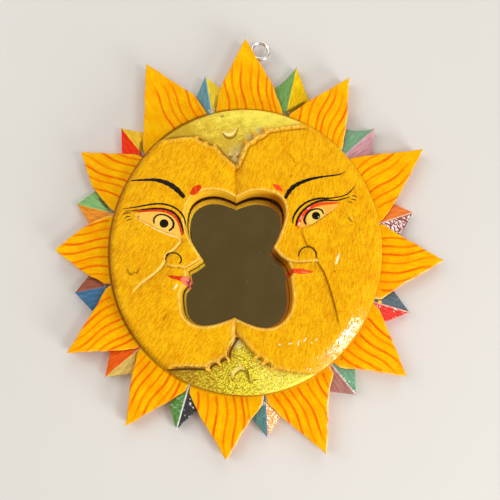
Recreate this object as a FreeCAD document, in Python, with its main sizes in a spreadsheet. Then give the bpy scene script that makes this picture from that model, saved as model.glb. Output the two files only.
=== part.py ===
import FreeCAD, Part
import math
import os

# Sun and moon wall mirror of carved and painted wood, lying on its back with the face up.
# The origin is the centre of the disc on the flat back: X to the right of the face, Y to the top ray,
# Z out of the face. Lengths are millimetres. A bearing is in degrees clockwise from the top ray,
# and a reach is a distance from the disc's centre.

SIZES = {
    # The round board that carries everything, with a step under its rim for the tails of the rays
    "disc_width": 124.0,
    "disc_height": 132.0,
    "disc_thickness": 13.0,
    "rim_lap": 6.0,
    "glue_gap": 0.1,
    # The two moons glued on the disc
    "moon_height": 5.5,
    "rim_round": 5.0,
    "moon_seam": -4.8,
    "scallop_depth": 1.0,
    "crown_groove_width": 11.0,
    "crown_groove_depth": 3.2,
    "chin_groove_width": 5.0,
    "chin_groove_depth": 2.0,
    # The flat long rays and the roof-shaped short rays between them
    "ray_thickness": 8.0,
    "ray_edge_bevel": 0.4,
    "shoulder_round": 14.0,
    "tip_round": 0.5,
    "ridge_height": 7.0,
    "ridge_fall": 4.0,
    "facet_slope": 17.0,
    # The mirror glass and the board behind it, let into the back of the disc
    "mirror_x": -3.7,
    "mirror_y": -5.6,
    "glass_width": 53.0,
    "glass_height": 64.0,
    "glass_thickness": 2.0,
    "glass_clearance": 0.4,
    "panel_ledge": 3.5,
    "panel_thickness": 2.4,
    "panel_recess": 0.6,
    "panel_clearance": 0.3,
    # The screw eye in the right flank of the top ray
    "eye_wire": 2.0,
    "eye_hole": 6.6,
    "eye_along": 8.1,
    "eye_stand": 4.15,
    "eye_shank": 6.5,
    "eye_point": 2.0,
    "eye_clearance": 0.1,
}

# Each long ray: bearing and reach of the tip, then for its left and its right flank
# the turn from the tip to the root, the turn to the shoulder and the shoulder's reach.
# These reaches are shares of the rim's reach at the same bearing, so the rays keep to the disc
LONG_RAYS = [
    (0.0, 1.613, -12.0, -8.5, 1.244, 15.0, 9.5, 1.252),
    (31.0, 1.549, -13.0, -7.5, 1.240, 12.5, 8.0, 1.220),
    (60.5, 1.582, -11.5, -7.0, 1.224, 17.5, 12.0, 1.203),
    (93.5, 1.506, -13.5, -8.0, 1.193, 17.5, 12.0, 1.156),
    (129.0, 1.471, -14.5, -10.5, 1.154, 13.5, 9.0, 1.162),
    (159.0, 1.504, -13.5, -8.5, 1.155, 13.5, 9.5, 1.177),
    (185.5, 1.430, -11.5, -7.0, 1.159, 16.0, 11.0, 1.165),
    (214.0, 1.476, -11.0, -7.0, 1.190, 12.0, 8.0, 1.193),
    (239.5, 1.484, -12.0, -6.5, 1.223, 14.5, 7.5, 1.215),
    (269.5, 1.415, -14.0, -9.0, 1.192, 14.0, 9.5, 1.200),
    (300.5, 1.450, -14.0, -9.0, 1.240, 11.0, 7.0, 1.191),
    (332.0, 1.606, -18.0, -12.5, 1.183, 12.0, 10.0, 1.212),
]
LONG_RAY_WORDS = (
    "tip_bearing", "tip_share",
    "left_root_turn", "left_shoulder_turn", "left_shoulder_share",
    "right_root_turn", "right_shoulder_turn", "right_shoulder_share",
)

# Each short ray, in the notch after the long ray of the same number: bearing and reach of the tip
SHORT_RAYS = [
    (15.5, 1.461),
    (46.5, 1.371),
    (77.5, 1.319),
    (111.5, 1.304),
    (143.5, 1.287),
    (174.0, 1.289),
    (201.0, 1.329),
    (227.5, 1.349),
    (255.5, 1.302),
    (285.0, 1.325),
    (314.5, 1.323),
    (347.0, 1.353),
]
SHORT_RAY_WORDS = ("tip_bearing", "tip_share")

# Places on the face, as X and Y
POINTS = {
    # The edge of the mirror's opening is the profile of the two faces, from the top cusp to the bottom one
    "top_cusp": (-4.5, 22.0),
    "bottom_cusp": (-5.2, -32.3),
    "left_crown": (-11.8, 24.9),
    "left_hairline": (-19.8, 24.7),
    "left_forehead": (-25.5, 20.8),
    "left_brow": (-27.6, 14.0),
    "left_bridge": (-27.1, 6.8),
    "left_nose_back": (-23.9, 0.1),
    "left_nose_tip": (-20.0, -6.1),
    "left_nostril": (-23.8, -8.9),
    "left_lip_root": (-26.9, -10.6),
    "left_upper_lip": (-26.1, -14.6),
    "left_mouth": (-27.2, -16.0),
    "left_lower_lip": (-26.7, -17.4),
    "left_chin_hollow": (-28.5, -19.4),
    "left_chin": (-29.0, -25.2),
    "left_jaw": (-27.6, -31.2),
    "left_throat": (-22.6, -35.2),
    "left_neck": (-14.1, -35.3),
    "right_crown": (2.8, 24.8),
    "right_hairline": (9.6, 24.7),
    "right_forehead": (15.7, 21.7),
    "right_brow": (17.9, 15.6),
    "right_bridge": (17.2, 10.5),
    "right_nose_back": (14.9, 4.3),
    "right_nose_tip": (12.2, -1.0),
    "right_nostril": (15.3, -4.9),
    "right_lip_root": (18.6, -7.6),
    "right_upper_lip": (20.1, -11.0),
    "right_mouth": (20.9, -12.4),
    "right_lower_lip": (19.7, -14.4),
    "right_chin_hollow": (20.0, -17.5),
    "right_chin": (20.4, -22.5),
    "right_jaw": (18.3, -31.3),
    "right_throat": (11.9, -36.4),
    "right_neck": (3.4, -36.0),
}

# Places on the edges of the bare fields above and below the moons, as X and the depth below the rim's
# highest or lowest point: a point between the moons, then on each side the bend of the edge, three teeth,
# the sweep of the edge to the rim and a corner beyond the rim
FIELD_POINTS = {
    "top_field_point": (-4.8, 28.0),
    "top_left_bend": (-9.3, 24.7),
    "top_left_tooth_near": (-13.9, 19.2),
    "top_left_tooth_mid": (-18.6, 17.4),
    "top_left_tooth_far": (-22.4, 15.1),
    "top_left_sweep": (-31.0, 15.4),
    "top_left_corner": (-50.0, 22.0),
    "top_right_bend": (-2.6, 22.8),
    "top_right_tooth_near": (-0.3, 17.5),
    "top_right_tooth_mid": (3.8, 14.4),
    "top_right_tooth_far": (8.6, 11.4),
    "top_right_sweep": (20.0, 9.1),
    "top_right_corner": (36.0, 8.0),
    "bottom_field_point": (-3.7, 25.5),
    "bottom_left_bend": (-6.6, 21.6),
    "bottom_left_tooth_near": (-8.2, 16.0),
    "bottom_left_tooth_mid": (-12.1, 14.3),
    "bottom_left_tooth_far": (-16.3, 12.0),
    "bottom_left_sweep": (-25.5, 12.4),
    "bottom_left_corner": (-42.0, 11.0),
    "bottom_right_bend": (0.2, 21.0),
    "bottom_right_tooth_near": (4.0, 16.7),
    "bottom_right_tooth_mid": (6.9, 14.2),
    "bottom_right_tooth_far": (10.6, 12.0),
    "bottom_right_sweep": (20.0, 10.0),
    "bottom_right_corner": (36.0, 10.0),
}

# Room past a face for a tool that cuts right through it
OVERSHOOT = 2.0
TOUCH = 1e-6

doc = FreeCAD.newDocument("sun_and_moon_mirror")
sheet = doc.addObject("Spreadsheet::Sheet", "sizes")
rows_used = 0


def write_size(alias, value):
    """Put one plain number in the next row of the sheet, under its alias."""
    global rows_used
    rows_used += 1
    sheet.set("A%d" % rows_used, alias)
    sheet.set("B%d" % rows_used, str(value))
    sheet.setAlias("B%d" % rows_used, alias)


for size_name, size in SIZES.items():
    write_size(size_name, size)
for number, row in enumerate(LONG_RAYS, 1):
    for word, size in zip(LONG_RAY_WORDS, row):
        write_size("long_%02d_%s" % (number, word), size)
for number, row in enumerate(SHORT_RAYS, 1):
    for word, size in zip(SHORT_RAY_WORDS, row):
        write_size("short_%02d_%s" % (number, word), size)
for point_name, (x, y) in POINTS.items():
    write_size(point_name + "_x", x)
    write_size(point_name + "_y", y)
for point_name, (x, depth) in FIELD_POINTS.items():
    write_size(point_name + "_x", x)
    write_size(point_name + "_depth", depth)
doc.recompute()


def size_of(alias):
    """A number from the sheet."""
    return float(getattr(sheet, alias))


def place(name):
    """A named place on the face, as a vector at Z 0."""
    return FreeCAD.Vector(size_of(name + "_x"), size_of(name + "_y"), 0)


def field_place(name):
    """A named place on the edge of a bare field, as a vector at Z 0."""
    y = size_of("disc_height") / 2 - size_of(name + "_depth")
    if name.startswith("bottom"):
        y = -y
    return FreeCAD.Vector(size_of(name + "_x"), y, 0)


def polar(bearing, reach):
    """The point at a bearing and a reach from the disc's centre."""
    angle = math.radians(bearing)
    return FreeCAD.Vector(reach * math.sin(angle), reach * math.cos(angle), 0)


def rim_reach(bearing, inset=0.0):
    """Reach of the disc's elliptic rim, drawn in by an inset, at a bearing."""
    angle = math.radians(bearing)
    across = size_of("disc_width") / 2 - inset
    along = size_of("disc_height") / 2 - inset
    return 1 / math.hypot(math.sin(angle) / across, math.cos(angle) / along)


def off_rim(bearing, share):
    """The point at a bearing whose reach is a share of the rim's reach there."""
    return polar(bearing, share * rim_reach(bearing))


def bind(item, **expressions):
    """Bind properties of an object to the sheet."""
    for prop, text in expressions.items():
        item.setExpression(prop, text)
    return item


def feature(name, shape):
    """An object that holds a shape worked out from the sheet."""
    item = doc.addObject("Part::Feature", name)
    item.Shape = shape
    return item


def extrusion(name, base, height, bottom="0"):
    """A prism over a flat base, with its height and its lower face bound to the sheet."""
    item = doc.addObject("Part::Extrusion", name)
    item.Base = base
    item.DirMode = "Custom"
    item.Dir = FreeCAD.Vector(0, 0, 1)
    item.Solid = True
    item.FaceMakerClass = "Part::FaceMakerBullseye"
    bind(item, LengthFwd=height)
    item.setExpression(".Placement.Base.z", bottom)
    return item


def ellipse(name, inset):
    """An ellipse along the disc's rim, drawn in by an inset given as an expression."""
    item = doc.addObject("Part::Ellipse", name)
    bind(
        item,
        MajorRadius="max(sizes.disc_height; sizes.disc_width) / 2 - (%s)" % inset,
        MinorRadius="min(sizes.disc_height; sizes.disc_width) / 2 - (%s)" % inset,
    )
    # The long axis stands upright, or lies level where the disc is wider than high
    item.setExpression(".Placement.Rotation.Angle", "sizes.disc_height >= sizes.disc_width ? 90 : 0")
    return item


def boolean(kind, name, base, tools):
    """Cut, Fuse or Common of a base with one tool after another."""
    for step, tool in enumerate(tools, 1):
        item = doc.addObject("Part::" + kind, "%s_%s_%d" % (name, kind.lower(), step))
        item.Base = base
        item.Tool = tool
        base = item
    return base


def box(name, width, height, thickness, bottom):
    """A box centred behind the mirror's opening, with its sizes bound to the sheet."""
    item = doc.addObject("Part::Box", name)
    bind(item, Length=width, Width=height, Height=thickness)
    item.setExpression(".Placement.Base.x", "sizes.mirror_x - (%s) / 2" % width)
    item.setExpression(".Placement.Base.y", "sizes.mirror_y - (%s) / 2" % height)
    item.setExpression(".Placement.Base.z", bottom)
    return item


def top_edges(shape):
    """Numbers of the edges that lie in the shape's highest plane."""
    top = shape.BoundBox.ZMax
    return [n for n, edge in enumerate(shape.Edges, 1) if abs(edge.BoundBox.ZMin - top) < TOUCH]


def eased(kind, name, base, amount):
    """The base with the edges of its top face rounded (Fillet) or bevelled (Chamfer)."""
    doc.recompute()
    item = doc.addObject("Part::" + kind, name)
    item.Base = base
    item.Edges = [(n, amount, amount) for n in top_edges(base.Shape)]
    return item


def line(start, end):
    return Part.LineSegment(start, end).toShape()


def arc(start, middle, end):
    return Part.Arc(start, middle, end).toShape()


def curve(*names):
    """A smooth curve through named places."""
    spline = Part.BSplineCurve()
    spline.interpolate([place(name) for name in names])
    return spline.toShape()


def face_of(edges):
    """The flat face inside a closed chain of edges."""
    return Part.Face(Part.Wire(edges))


def rounded_outline(corners):
    """Closed outline through (point, radius) corners, each radius held to what its two sides leave room for."""
    edges = []
    stops = []
    count = len(corners)
    for n, (corner, radius) in enumerate(corners):
        before = corners[n - 1][0] - corner
        after = corners[(n + 1) % count][0] - corner
        half = before.getAngle(after) / 2
        room = 0.45 * min(before.Length, after.Length)
        reach = min(radius / math.tan(half), room)
        before.normalize()
        after.normalize()
        start = corner + before * reach
        end = corner + after * reach
        if radius > 0:
            bisector = before + after
            bisector.normalize()
            held_radius = reach * math.tan(half)
            middle = corner + bisector * (held_radius / math.sin(half) - held_radius)
            edges.append(arc(start, middle, end))
        stops.append((start, end))
        if n > 0:
            edges.insert(len(edges) - (radius > 0), line(stops[n - 1][1], start))
    edges.append(line(stops[-1][1], stops[0][0]))
    return face_of(edges)


def face_profile(side):
    """Edges of the opening along one moon's face, from the top cusp to the bottom one."""
    name = (side + "_%s").__mod__
    return [
        curve("top_cusp", name("crown"), name("hairline"), name("forehead"), name("brow"),
              name("bridge"), name("nose_back"), name("nose_tip")),
        curve(name("nose_tip"), name("nostril"), name("lip_root")),
        line(place(name("lip_root")), place(name("upper_lip"))),
        line(place(name("upper_lip")), place(name("mouth"))),
        line(place(name("mouth")), place(name("lower_lip"))),
        curve(name("lower_lip"), name("chin_hollow"), name("chin"), name("jaw"), name("throat"),
              name("neck"), "bottom_cusp"),
    ]


def scallop(start, end, centre):
    """Arc between two teeth of a moon's edge, bulging away from the bare field's centre."""
    middle = (start + end) * 0.5
    outward = FreeCAD.Vector(end.y - start.y, start.x - end.x, 0)
    outward.normalize()
    if outward.dot(middle - centre) < 0:
        outward = outward * -1
    return arc(start, middle + outward * size_of("scallop_depth"), end)


def field_edge(field, side):
    """Edges of a bare field along one moon, from the point between the moons to beyond the rim."""
    stem = field + "_" + side + "_"
    teeth = [field_place(stem + "tooth_" + word) for word in ("near", "mid", "far")]
    centre = polar(0 if field == "top" else 180, size_of("disc_height") / 2)
    return [
        arc(field_place(field + "_field_point"), field_place(stem + "bend"), teeth[0]),
        scallop(teeth[0], teeth[1], centre),
        scallop(teeth[1], teeth[2], centre),
        arc(teeth[2], field_place(stem + "sweep"), field_place(stem + "corner")),
    ]


def field_outline(field):
    """Outline of a bare field: both moons' edges, closed well outside the rim."""
    left = field_place(field + "_left_corner")
    right = field_place(field + "_right_corner")
    outside = polar(0 if field == "top" else 180, size_of("disc_height"))
    far_left = FreeCAD.Vector(left.x, outside.y, 0)
    far_right = FreeCAD.Vector(right.x, outside.y, 0)
    closing = [line(left, far_left), line(far_left, far_right), line(far_right, right)]
    return face_of(Part.sortEdges(field_edge(field, "left") + closing + field_edge(field, "right"))[0])


def seam_groove(name, width, depth, start_y, end_y):
    """A groove of V section along the seam of the moons, cut down from their top."""
    top = size_of("disc_thickness") + size_of("moon_height")
    seam = size_of("moon_seam")
    half = size_of(width) / 2
    rise = OVERSHOOT * half / size_of(depth)
    corners = [
        FreeCAD.Vector(seam, start_y, top - size_of(depth)),
        FreeCAD.Vector(seam + half + rise, start_y, top + OVERSHOOT),
        FreeCAD.Vector(seam - half - rise, start_y, top + OVERSHOOT),
    ]
    section = Part.Face(Part.makePolygon(corners + corners[:1]))
    return feature(name, section.extrude(FreeCAD.Vector(0, end_y - start_y, 0)))


def long_ray_corners(number):
    """Root, shoulder and tip places of a long ray, by name."""
    def value(word):
        return size_of("long_%02d_%s" % (number, word))

    tip_bearing = value("tip_bearing")
    places = {"tip": off_rim(tip_bearing, value("tip_share"))}
    for side in ("left", "right"):
        root_bearing = tip_bearing + value(side + "_root_turn")
        shoulder_bearing = tip_bearing + value(side + "_shoulder_turn")
        places[side + "_root"] = off_rim(root_bearing, 1)
        places[side + "_tail"] = polar(root_bearing, rim_reach(root_bearing, 2 * size_of("rim_lap")))
        places[side + "_shoulder"] = off_rim(shoulder_bearing, value(side + "_shoulder_share"))
    return places


def long_ray(number):
    """A flat pointed ray with bevelled edges, whose tail runs in under the rim as far as the boss."""
    at = long_ray_corners(number)
    outline = rounded_outline([
        (at["left_tail"], 0),
        (at["left_root"], 0),
        (at["left_shoulder"], size_of("shoulder_round")),
        (at["tip"], size_of("tip_round")),
        (at["right_shoulder"], size_of("shoulder_round")),
        (at["right_root"], 0),
        (at["right_tail"], 0),
    ])
    name = "long_%02d" % number
    board = extrusion(name + "_board", feature(name + "_outline", outline), "sizes.ray_thickness")
    bevelled = eased("Chamfer", name + "_bevelled", board, size_of("ray_edge_bevel"))
    return boolean("Cut", name, bevelled, [boss_room])


def short_ray(number):
    """A roof-shaped ray that fills the notch between two long rays: a ridge with a facet on each side."""
    before = long_ray_corners(number)
    after = long_ray_corners(number % len(LONG_RAYS) + 1)
    tip = off_rim(size_of("short_%02d_tip_bearing" % number), size_of("short_%02d_tip_share" % number))
    ridge_root = (before["right_root"] + after["left_root"]) * 0.5
    inward = ridge_root - (before["right_tail"] + after["left_tail"]) * 0.5
    inward.normalize()
    clockwise = FreeCAD.Vector(inward.y, -inward.x, 0)
    gap = clockwise * size_of("glue_gap")
    outline = Part.makePolygon([
        before["right_tail"] + gap,
        before["right_root"] + gap,
        before["right_shoulder"] + gap,
        tip,
        after["left_shoulder"] - gap,
        after["left_root"] - gap,
        after["left_tail"] - gap,
        before["right_tail"] + gap,
    ])
    name = "short_%02d" % number
    wedge = extrusion(name + "_wedge", feature(name + "_outline", Part.Face(outline)), "sizes.ray_thickness")
    # The roof runs along the ridge from behind the tail to past the tip, and falls towards the tip
    run = tip - ridge_root
    length = run.Length
    run.normalize()
    across = FreeCAD.Vector(run.y, -run.x, 0)
    up = FreeCAD.Vector(0, 0, 1)
    fall = math.tan(math.radians(size_of("ridge_fall")))
    slope = math.tan(math.radians(size_of("facet_slope")))
    behind = 2 * size_of("rim_lap")
    start = ridge_root - run * behind + up * (size_of("ridge_height") + behind * fall)
    eave = across * length + up * (-length * slope)
    other_eave = across * -length + up * (-length * slope)
    under = up * -(size_of("ridge_height") + length)
    section = Part.makePolygon([
        start, start + eave, start + eave + under, start + other_eave + under, start + other_eave, start,
    ])
    roof = Part.Face(section).extrude((run - up * fall) * (behind + length + OVERSHOOT))
    roofed = boolean("Common", name, wedge, [feature(name + "_roof", roof)])
    return boolean("Cut", name, roofed, [boss_room])


# The disc: a boss that stands on the back plane, and a thinner plate over the tails of the rays
boss = extrusion("boss", ellipse("boss_edge", "sizes.rim_lap"), "sizes.disc_thickness")
plate = extrusion(
    "rim_plate",
    ellipse("rim_edge", "0"),
    "sizes.disc_thickness - sizes.ray_thickness - sizes.glue_gap",
    "sizes.ray_thickness + sizes.glue_gap",
)
boss_room = extrusion(
    "boss_room",
    ellipse("boss_room_edge", "sizes.rim_lap - sizes.glue_gap"),
    "sizes.disc_thickness",
)
opening_outline = feature(
    "opening_outline",
    face_of(Part.sortEdges(face_profile("left") + face_profile("right"))[0]),
)
opening = extrusion("opening", opening_outline, "2 * (sizes.disc_thickness + sizes.moon_height)")
glass_pocket = box(
    "glass_pocket",
    "sizes.glass_width + 2 * sizes.glass_clearance",
    "sizes.glass_height + 2 * sizes.glass_clearance",
    "sizes.panel_recess + sizes.panel_thickness + sizes.glass_thickness",
    "0",
)
panel_width = "sizes.glass_width + 2 * sizes.panel_ledge"
panel_height = "sizes.glass_height + 2 * sizes.panel_ledge"
panel_pocket = box(
    "panel_pocket",
    panel_width + " + 2 * sizes.panel_clearance",
    panel_height + " + 2 * sizes.panel_clearance",
    "sizes.panel_recess + sizes.panel_thickness",
    "0",
)
board = boolean("Fuse", "board", boss, [plate])
sun_disc = boolean("Cut", "disc", board, [opening, glass_pocket, panel_pocket])

# The glass and the board behind it
mirror_glass = box(
    "glass", "sizes.glass_width", "sizes.glass_height", "sizes.glass_thickness",
    "sizes.panel_recess + sizes.panel_thickness",
)
back_panel = box("panel", panel_width, panel_height, "sizes.panel_thickness", "sizes.panel_recess")

# The moons: a plate with a rounded rim, less the opening, the bare fields and the grooves of the seam,
# parted at the seam
moon_top = "sizes.disc_thickness + sizes.moon_height"
moon_plate = extrusion("moon_plate", ellipse("moon_edge", "0"), "sizes.moon_height", "sizes.disc_thickness")
rim_round = min(size_of("rim_round"), 0.95 * size_of("moon_height"))
moon_blank = eased("Fillet", "moon_blank", moon_plate, rim_round)
fields = [
    extrusion(field + "_field", feature(field + "_field_outline", field_outline(field)), "2 * (%s)" % moon_top)
    for field in ("top", "bottom")
]
grooves = [
    seam_groove("crown_groove", "crown_groove_width", "crown_groove_depth",
                size_of("top_cusp_y") - OVERSHOOT, field_place("top_right_bend").y),
    seam_groove("chin_groove", "chin_groove_width", "chin_groove_depth",
                field_place("bottom_right_bend").y, size_of("bottom_cusp_y") + OVERSHOOT),
]
carved = boolean("Cut", "moons", moon_blank, [opening] + fields + grooves)
moons = {}
for side, offset in (("left", "-sizes.disc_width - sizes.glue_gap / 2"), ("right", "sizes.glue_gap / 2")):
    half = doc.addObject("Part::Box", side + "_half")
    bind(
        half,
        Length="sizes.disc_width",
        Width="2 * sizes.disc_height",
        Height="2 * (%s)" % moon_top,
    )
    half.setExpression(".Placement.Base.x", "sizes.moon_seam + (%s)" % offset)
    half.setExpression(".Placement.Base.y", "-sizes.disc_height")
    moons[side] = boolean("Common", side + "_moon", carved, [half])

# The screw eye: its ring lies level and is screwed home into the right flank of the top ray
top_ray = long_ray_corners(1)
along_flank = top_ray["right_shoulder"] - top_ray["tip"]
along_flank.normalize()
out_of_flank = FreeCAD.Vector(-along_flank.y, along_flank.x, 0)
half_thickness = FreeCAD.Vector(0, 0, size_of("ray_thickness") / 2)
ring_centre = top_ray["tip"] + along_flank * size_of("eye_along") + out_of_flank * size_of("eye_stand")
ring_centre = ring_centre + half_thickness
into_flank = FreeCAD.Rotation(FreeCAD.Vector(0, 0, 1), out_of_flank * -1)
shank_start = ring_centre - out_of_flank * ((size_of("eye_hole") + size_of("eye_wire")) / 2)


def eye_solid(name, clearance):
    """Ring, shank and point of the screw eye, grown by a clearance given as an expression."""
    ring = doc.addObject("Part::Torus", name + "_ring")
    bind(
        ring,
        Radius1="(sizes.eye_hole + sizes.eye_wire) / 2",
        Radius2="sizes.eye_wire / 2 + " + clearance,
    )
    ring.Placement = FreeCAD.Placement(ring_centre, FreeCAD.Rotation())
    shank = doc.addObject("Part::Cylinder", name + "_shank")
    bind(shank, Radius="sizes.eye_wire / 2 + " + clearance, Height="sizes.eye_shank - sizes.eye_point")
    shank.Placement = FreeCAD.Placement(shank_start, into_flank)
    point = doc.addObject("Part::Cone", name + "_point")
    bind(
        point,
        Radius1="sizes.eye_wire / 2 + " + clearance,
        Radius2="sizes.eye_wire / 8 + " + clearance,
        Height="sizes.eye_point + " + clearance,
    )
    point_start = shank_start - out_of_flank * (size_of("eye_shank") - size_of("eye_point"))
    point.Placement = FreeCAD.Placement(point_start, into_flank)
    return boolean("Fuse", name, ring, [shank, point])


eye_screw = eye_solid("eye", "0")
eye_hole = eye_solid("eye_room", "sizes.eye_clearance")

parts = {
    "sun_disc": sun_disc,
    "left_moon": moons["left"],
    "right_moon": moons["right"],
    "mirror_glass": mirror_glass,
    "back_panel": back_panel,
    "eye_screw": eye_screw,
}
for number in range(1, len(LONG_RAYS) + 1):
    ray = long_ray(number)
    if number == 1:
        ray = boolean("Cut", "drilled", ray, [eye_hole])
    parts["long_ray_%02d" % number] = ray
for number in range(1, len(SHORT_RAYS) + 1):
    parts["short_ray_%02d" % number] = short_ray(number)
for node, part in parts.items():
    part.Label = node
doc.recompute()

for item in doc.Objects:
    if "Invalid" in item.State or "Error" in item.State:
        raise RuntimeError("%s did not build: %s" % (item.Name, item.State))
for node, part in parts.items():
    if part.Shape.isNull() or not part.Shape.isValid() or len(part.Shape.Solids) != 1:
        raise RuntimeError("%s is not one valid solid" % node)

os.makedirs("parts", exist_ok=True)
for node, part in parts.items():
    part.Shape.exportStep("parts/%s.step" % node)
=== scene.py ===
import math

import bpy
import numpy as np
from mathutils import Matrix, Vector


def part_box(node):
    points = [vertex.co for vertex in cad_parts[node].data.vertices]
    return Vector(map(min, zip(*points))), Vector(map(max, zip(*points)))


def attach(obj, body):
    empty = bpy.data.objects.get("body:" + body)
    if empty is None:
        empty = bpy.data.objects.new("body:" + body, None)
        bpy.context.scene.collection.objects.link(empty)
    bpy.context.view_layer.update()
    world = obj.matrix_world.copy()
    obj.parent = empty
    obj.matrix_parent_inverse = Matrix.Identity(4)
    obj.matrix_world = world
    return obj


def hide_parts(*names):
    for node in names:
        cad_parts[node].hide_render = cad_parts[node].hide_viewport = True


# Sun and moon wall mirror: carved, painted wood laid on its back, with the face up.
# Lengths below are millimetres, X to the right of the face, Y to the top ray, Z out of the face.
# A bearing is in degrees clockwise from the top ray, and a share is a part of the rim's reach there.

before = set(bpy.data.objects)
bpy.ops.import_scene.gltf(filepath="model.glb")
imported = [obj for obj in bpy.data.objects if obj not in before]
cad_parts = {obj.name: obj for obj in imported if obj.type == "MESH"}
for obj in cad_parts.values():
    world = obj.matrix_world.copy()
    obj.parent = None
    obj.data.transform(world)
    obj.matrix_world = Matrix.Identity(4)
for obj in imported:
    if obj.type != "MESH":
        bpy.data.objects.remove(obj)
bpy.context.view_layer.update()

MM = 0.001
SIDES = ("left", "right")
FIELDS = ("top", "bottom")
# Distances from painted shapes are worked out up to this one
FAR = 4.0

# Heights of the faces, the rim of the disc, the line where the moons meet, and how far painted walls stand
# proud of the solids'
RIM_HALF_WIDTH = 62.0
RIM_HALF_HEIGHT = 66.0
GLASS_TOP = 5.0
GLASS_BOTTOM = 3.0
RAY_TOP = 8.0
DISC_TOP = 13.0
MOON_TOP = 18.5
SEAM = -4.8
SKIN = 0.2

# Each long ray: bearing and share of the tip, then for each flank the turn to the root,
# the turn to the shoulder and the shoulder's share
LONG_RAYS = [
    (0.0, 1.613, -12.0, -8.5, 1.244, 15.0, 9.5, 1.252),
    (31.0, 1.549, -13.0, -7.5, 1.240, 12.5, 8.0, 1.220),
    (60.5, 1.582, -11.5, -7.0, 1.224, 17.5, 12.0, 1.203),
    (93.5, 1.506, -13.5, -8.0, 1.193, 17.5, 12.0, 1.156),
    (129.0, 1.471, -14.5, -10.5, 1.154, 13.5, 9.0, 1.162),
    (159.0, 1.504, -13.5, -8.5, 1.155, 13.5, 9.5, 1.177),
    (185.5, 1.430, -11.5, -7.0, 1.159, 16.0, 11.0, 1.165),
    (214.0, 1.476, -11.0, -7.0, 1.190, 12.0, 8.0, 1.193),
    (239.5, 1.484, -12.0, -6.5, 1.223, 14.5, 7.5, 1.215),
    (269.5, 1.432, -14.0, -9.0, 1.192, 14.0, 9.5, 1.200),
    (300.5, 1.450, -14.0, -9.0, 1.240, 11.0, 7.0, 1.191),
    (332.0, 1.606, -18.0, -12.5, 1.183, 12.0, 10.0, 1.212),
]

# Painted stripes of each long ray: their tilt from the ray's axis in degrees, and how far
# across the axis each one passes, 10 mm out from the rim
STRIPES = [
    (-5.5, (-9.2, -5.3, -1.2, 3.6, 7.1, 11.1, 13.7)),
    (-10.0, (-12.2, -7.5, -2.7, 0.3, 4.3, 7.7, 10.9)),
    (-7.0, (-8.0, -4.2, 0.1, 5.2, 9.5, 13.6)),
    (-9.5, (-9.2, -5.4, -1.7, 2.2, 6.5, 10.5, 14.3)),
    (-1.0, (-9.3, -6.2, -1.9, 2.2, 6.7, 10.6)),
    (-5.5, (-12.8, -9.4, -4.9, -0.2, 3.4, 7.0, 11.1)),
    (-4.5, (-7.9, -5.5, -1.8, 2.1, 6.6, 10.6, 14.9)),
    (-2.0, (-9.4, -6.9, -3.4, 0.2, 4.0, 7.5, 10.6)),
    (-3.5, (-9.3, -6.5, -2.3, 0.7, 4.2, 7.7, 11.2)),
    (-6.0, (-12.3, -8.6, -4.6, -0.3, 3.8, 8.1, 12.0)),
    (-8.0, (-10.9, -6.3, -2.8, 1.2, 5.7, 9.5)),
    (2.0, (-3.1, 1.2, 4.7, 10.0, 13.2)),
]

# Each short ray, in the notch after the long ray of the same number: bearing and share of the tip
SHORT_RAYS = [
    (15.5, 1.461), (46.5, 1.371), (77.5, 1.319), (111.5, 1.304), (143.5, 1.287), (174.0, 1.289),
    (201.0, 1.329), (227.5, 1.349), (255.5, 1.302), (285.0, 1.325), (314.5, 1.323), (347.0, 1.353),
]

# Edge of the mirror's opening along each face, from the top cusp to the bottom one
PROFILES = {
    "left": {
        "brow": [(-4.5, 22.0), (-11.8, 24.9), (-19.8, 24.7), (-25.5, 20.8), (-27.6, 14.0),
                 (-27.1, 6.8), (-23.9, 0.1), (-20.0, -6.1)],
        "nose": [(-20.0, -6.1), (-23.8, -8.9), (-26.9, -10.6)],
        "mouth": [(-26.9, -10.6), (-26.1, -14.6), (-27.2, -16.0), (-26.7, -17.4)],
        "chin": [(-26.7, -17.4), (-28.5, -19.4), (-29.0, -25.2), (-27.6, -31.2), (-22.6, -35.2),
                 (-14.1, -35.3), (-5.2, -32.3)],
    },
    "right": {
        "brow": [(-4.5, 22.0), (2.8, 24.8), (9.6, 24.7), (15.7, 21.7), (17.9, 15.6),
                 (17.2, 10.5), (14.9, 4.3), (12.2, -1.0)],
        "nose": [(12.2, -1.0), (15.3, -4.9), (18.6, -7.6)],
        "mouth": [(18.6, -7.6), (20.1, -11.0), (20.9, -12.4), (19.7, -14.4)],
        "chin": [(19.7, -14.4), (20.0, -17.5), (20.4, -22.5), (18.3, -31.3), (11.9, -36.4),
                 (3.4, -36.0), (-5.2, -32.3)],
    },
}

# Edge of each moon along a gold field: the point between the moons, the bend, three teeth,
# the sweep to the rim and a corner beyond it
FIELD_EDGES = {
    ("top", "left"): [(-4.8, 38.0), (-9.3, 41.3), (-13.9, 46.8), (-18.6, 48.6), (-22.4, 50.9),
                      (-31.0, 50.6), (-50.0, 44.0)],
    ("top", "right"): [(-4.8, 38.0), (-2.6, 43.2), (-0.3, 48.5), (3.8, 51.6), (8.6, 54.6),
                       (20.0, 56.9), (36.0, 58.0)],
    ("bottom", "left"): [(-3.7, -40.5), (-6.6, -44.4), (-8.2, -50.0), (-12.1, -51.7), (-16.3, -54.0),
                         (-25.5, -53.6), (-42.0, -55.0)],
    ("bottom", "right"): [(-3.7, -40.5), (0.2, -45.0), (4.0, -49.3), (6.9, -51.8), (10.6, -54.0),
                          (20.0, -56.0), (36.0, -56.0)],
}
SCALLOP_DEPTH = 1.0
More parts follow.
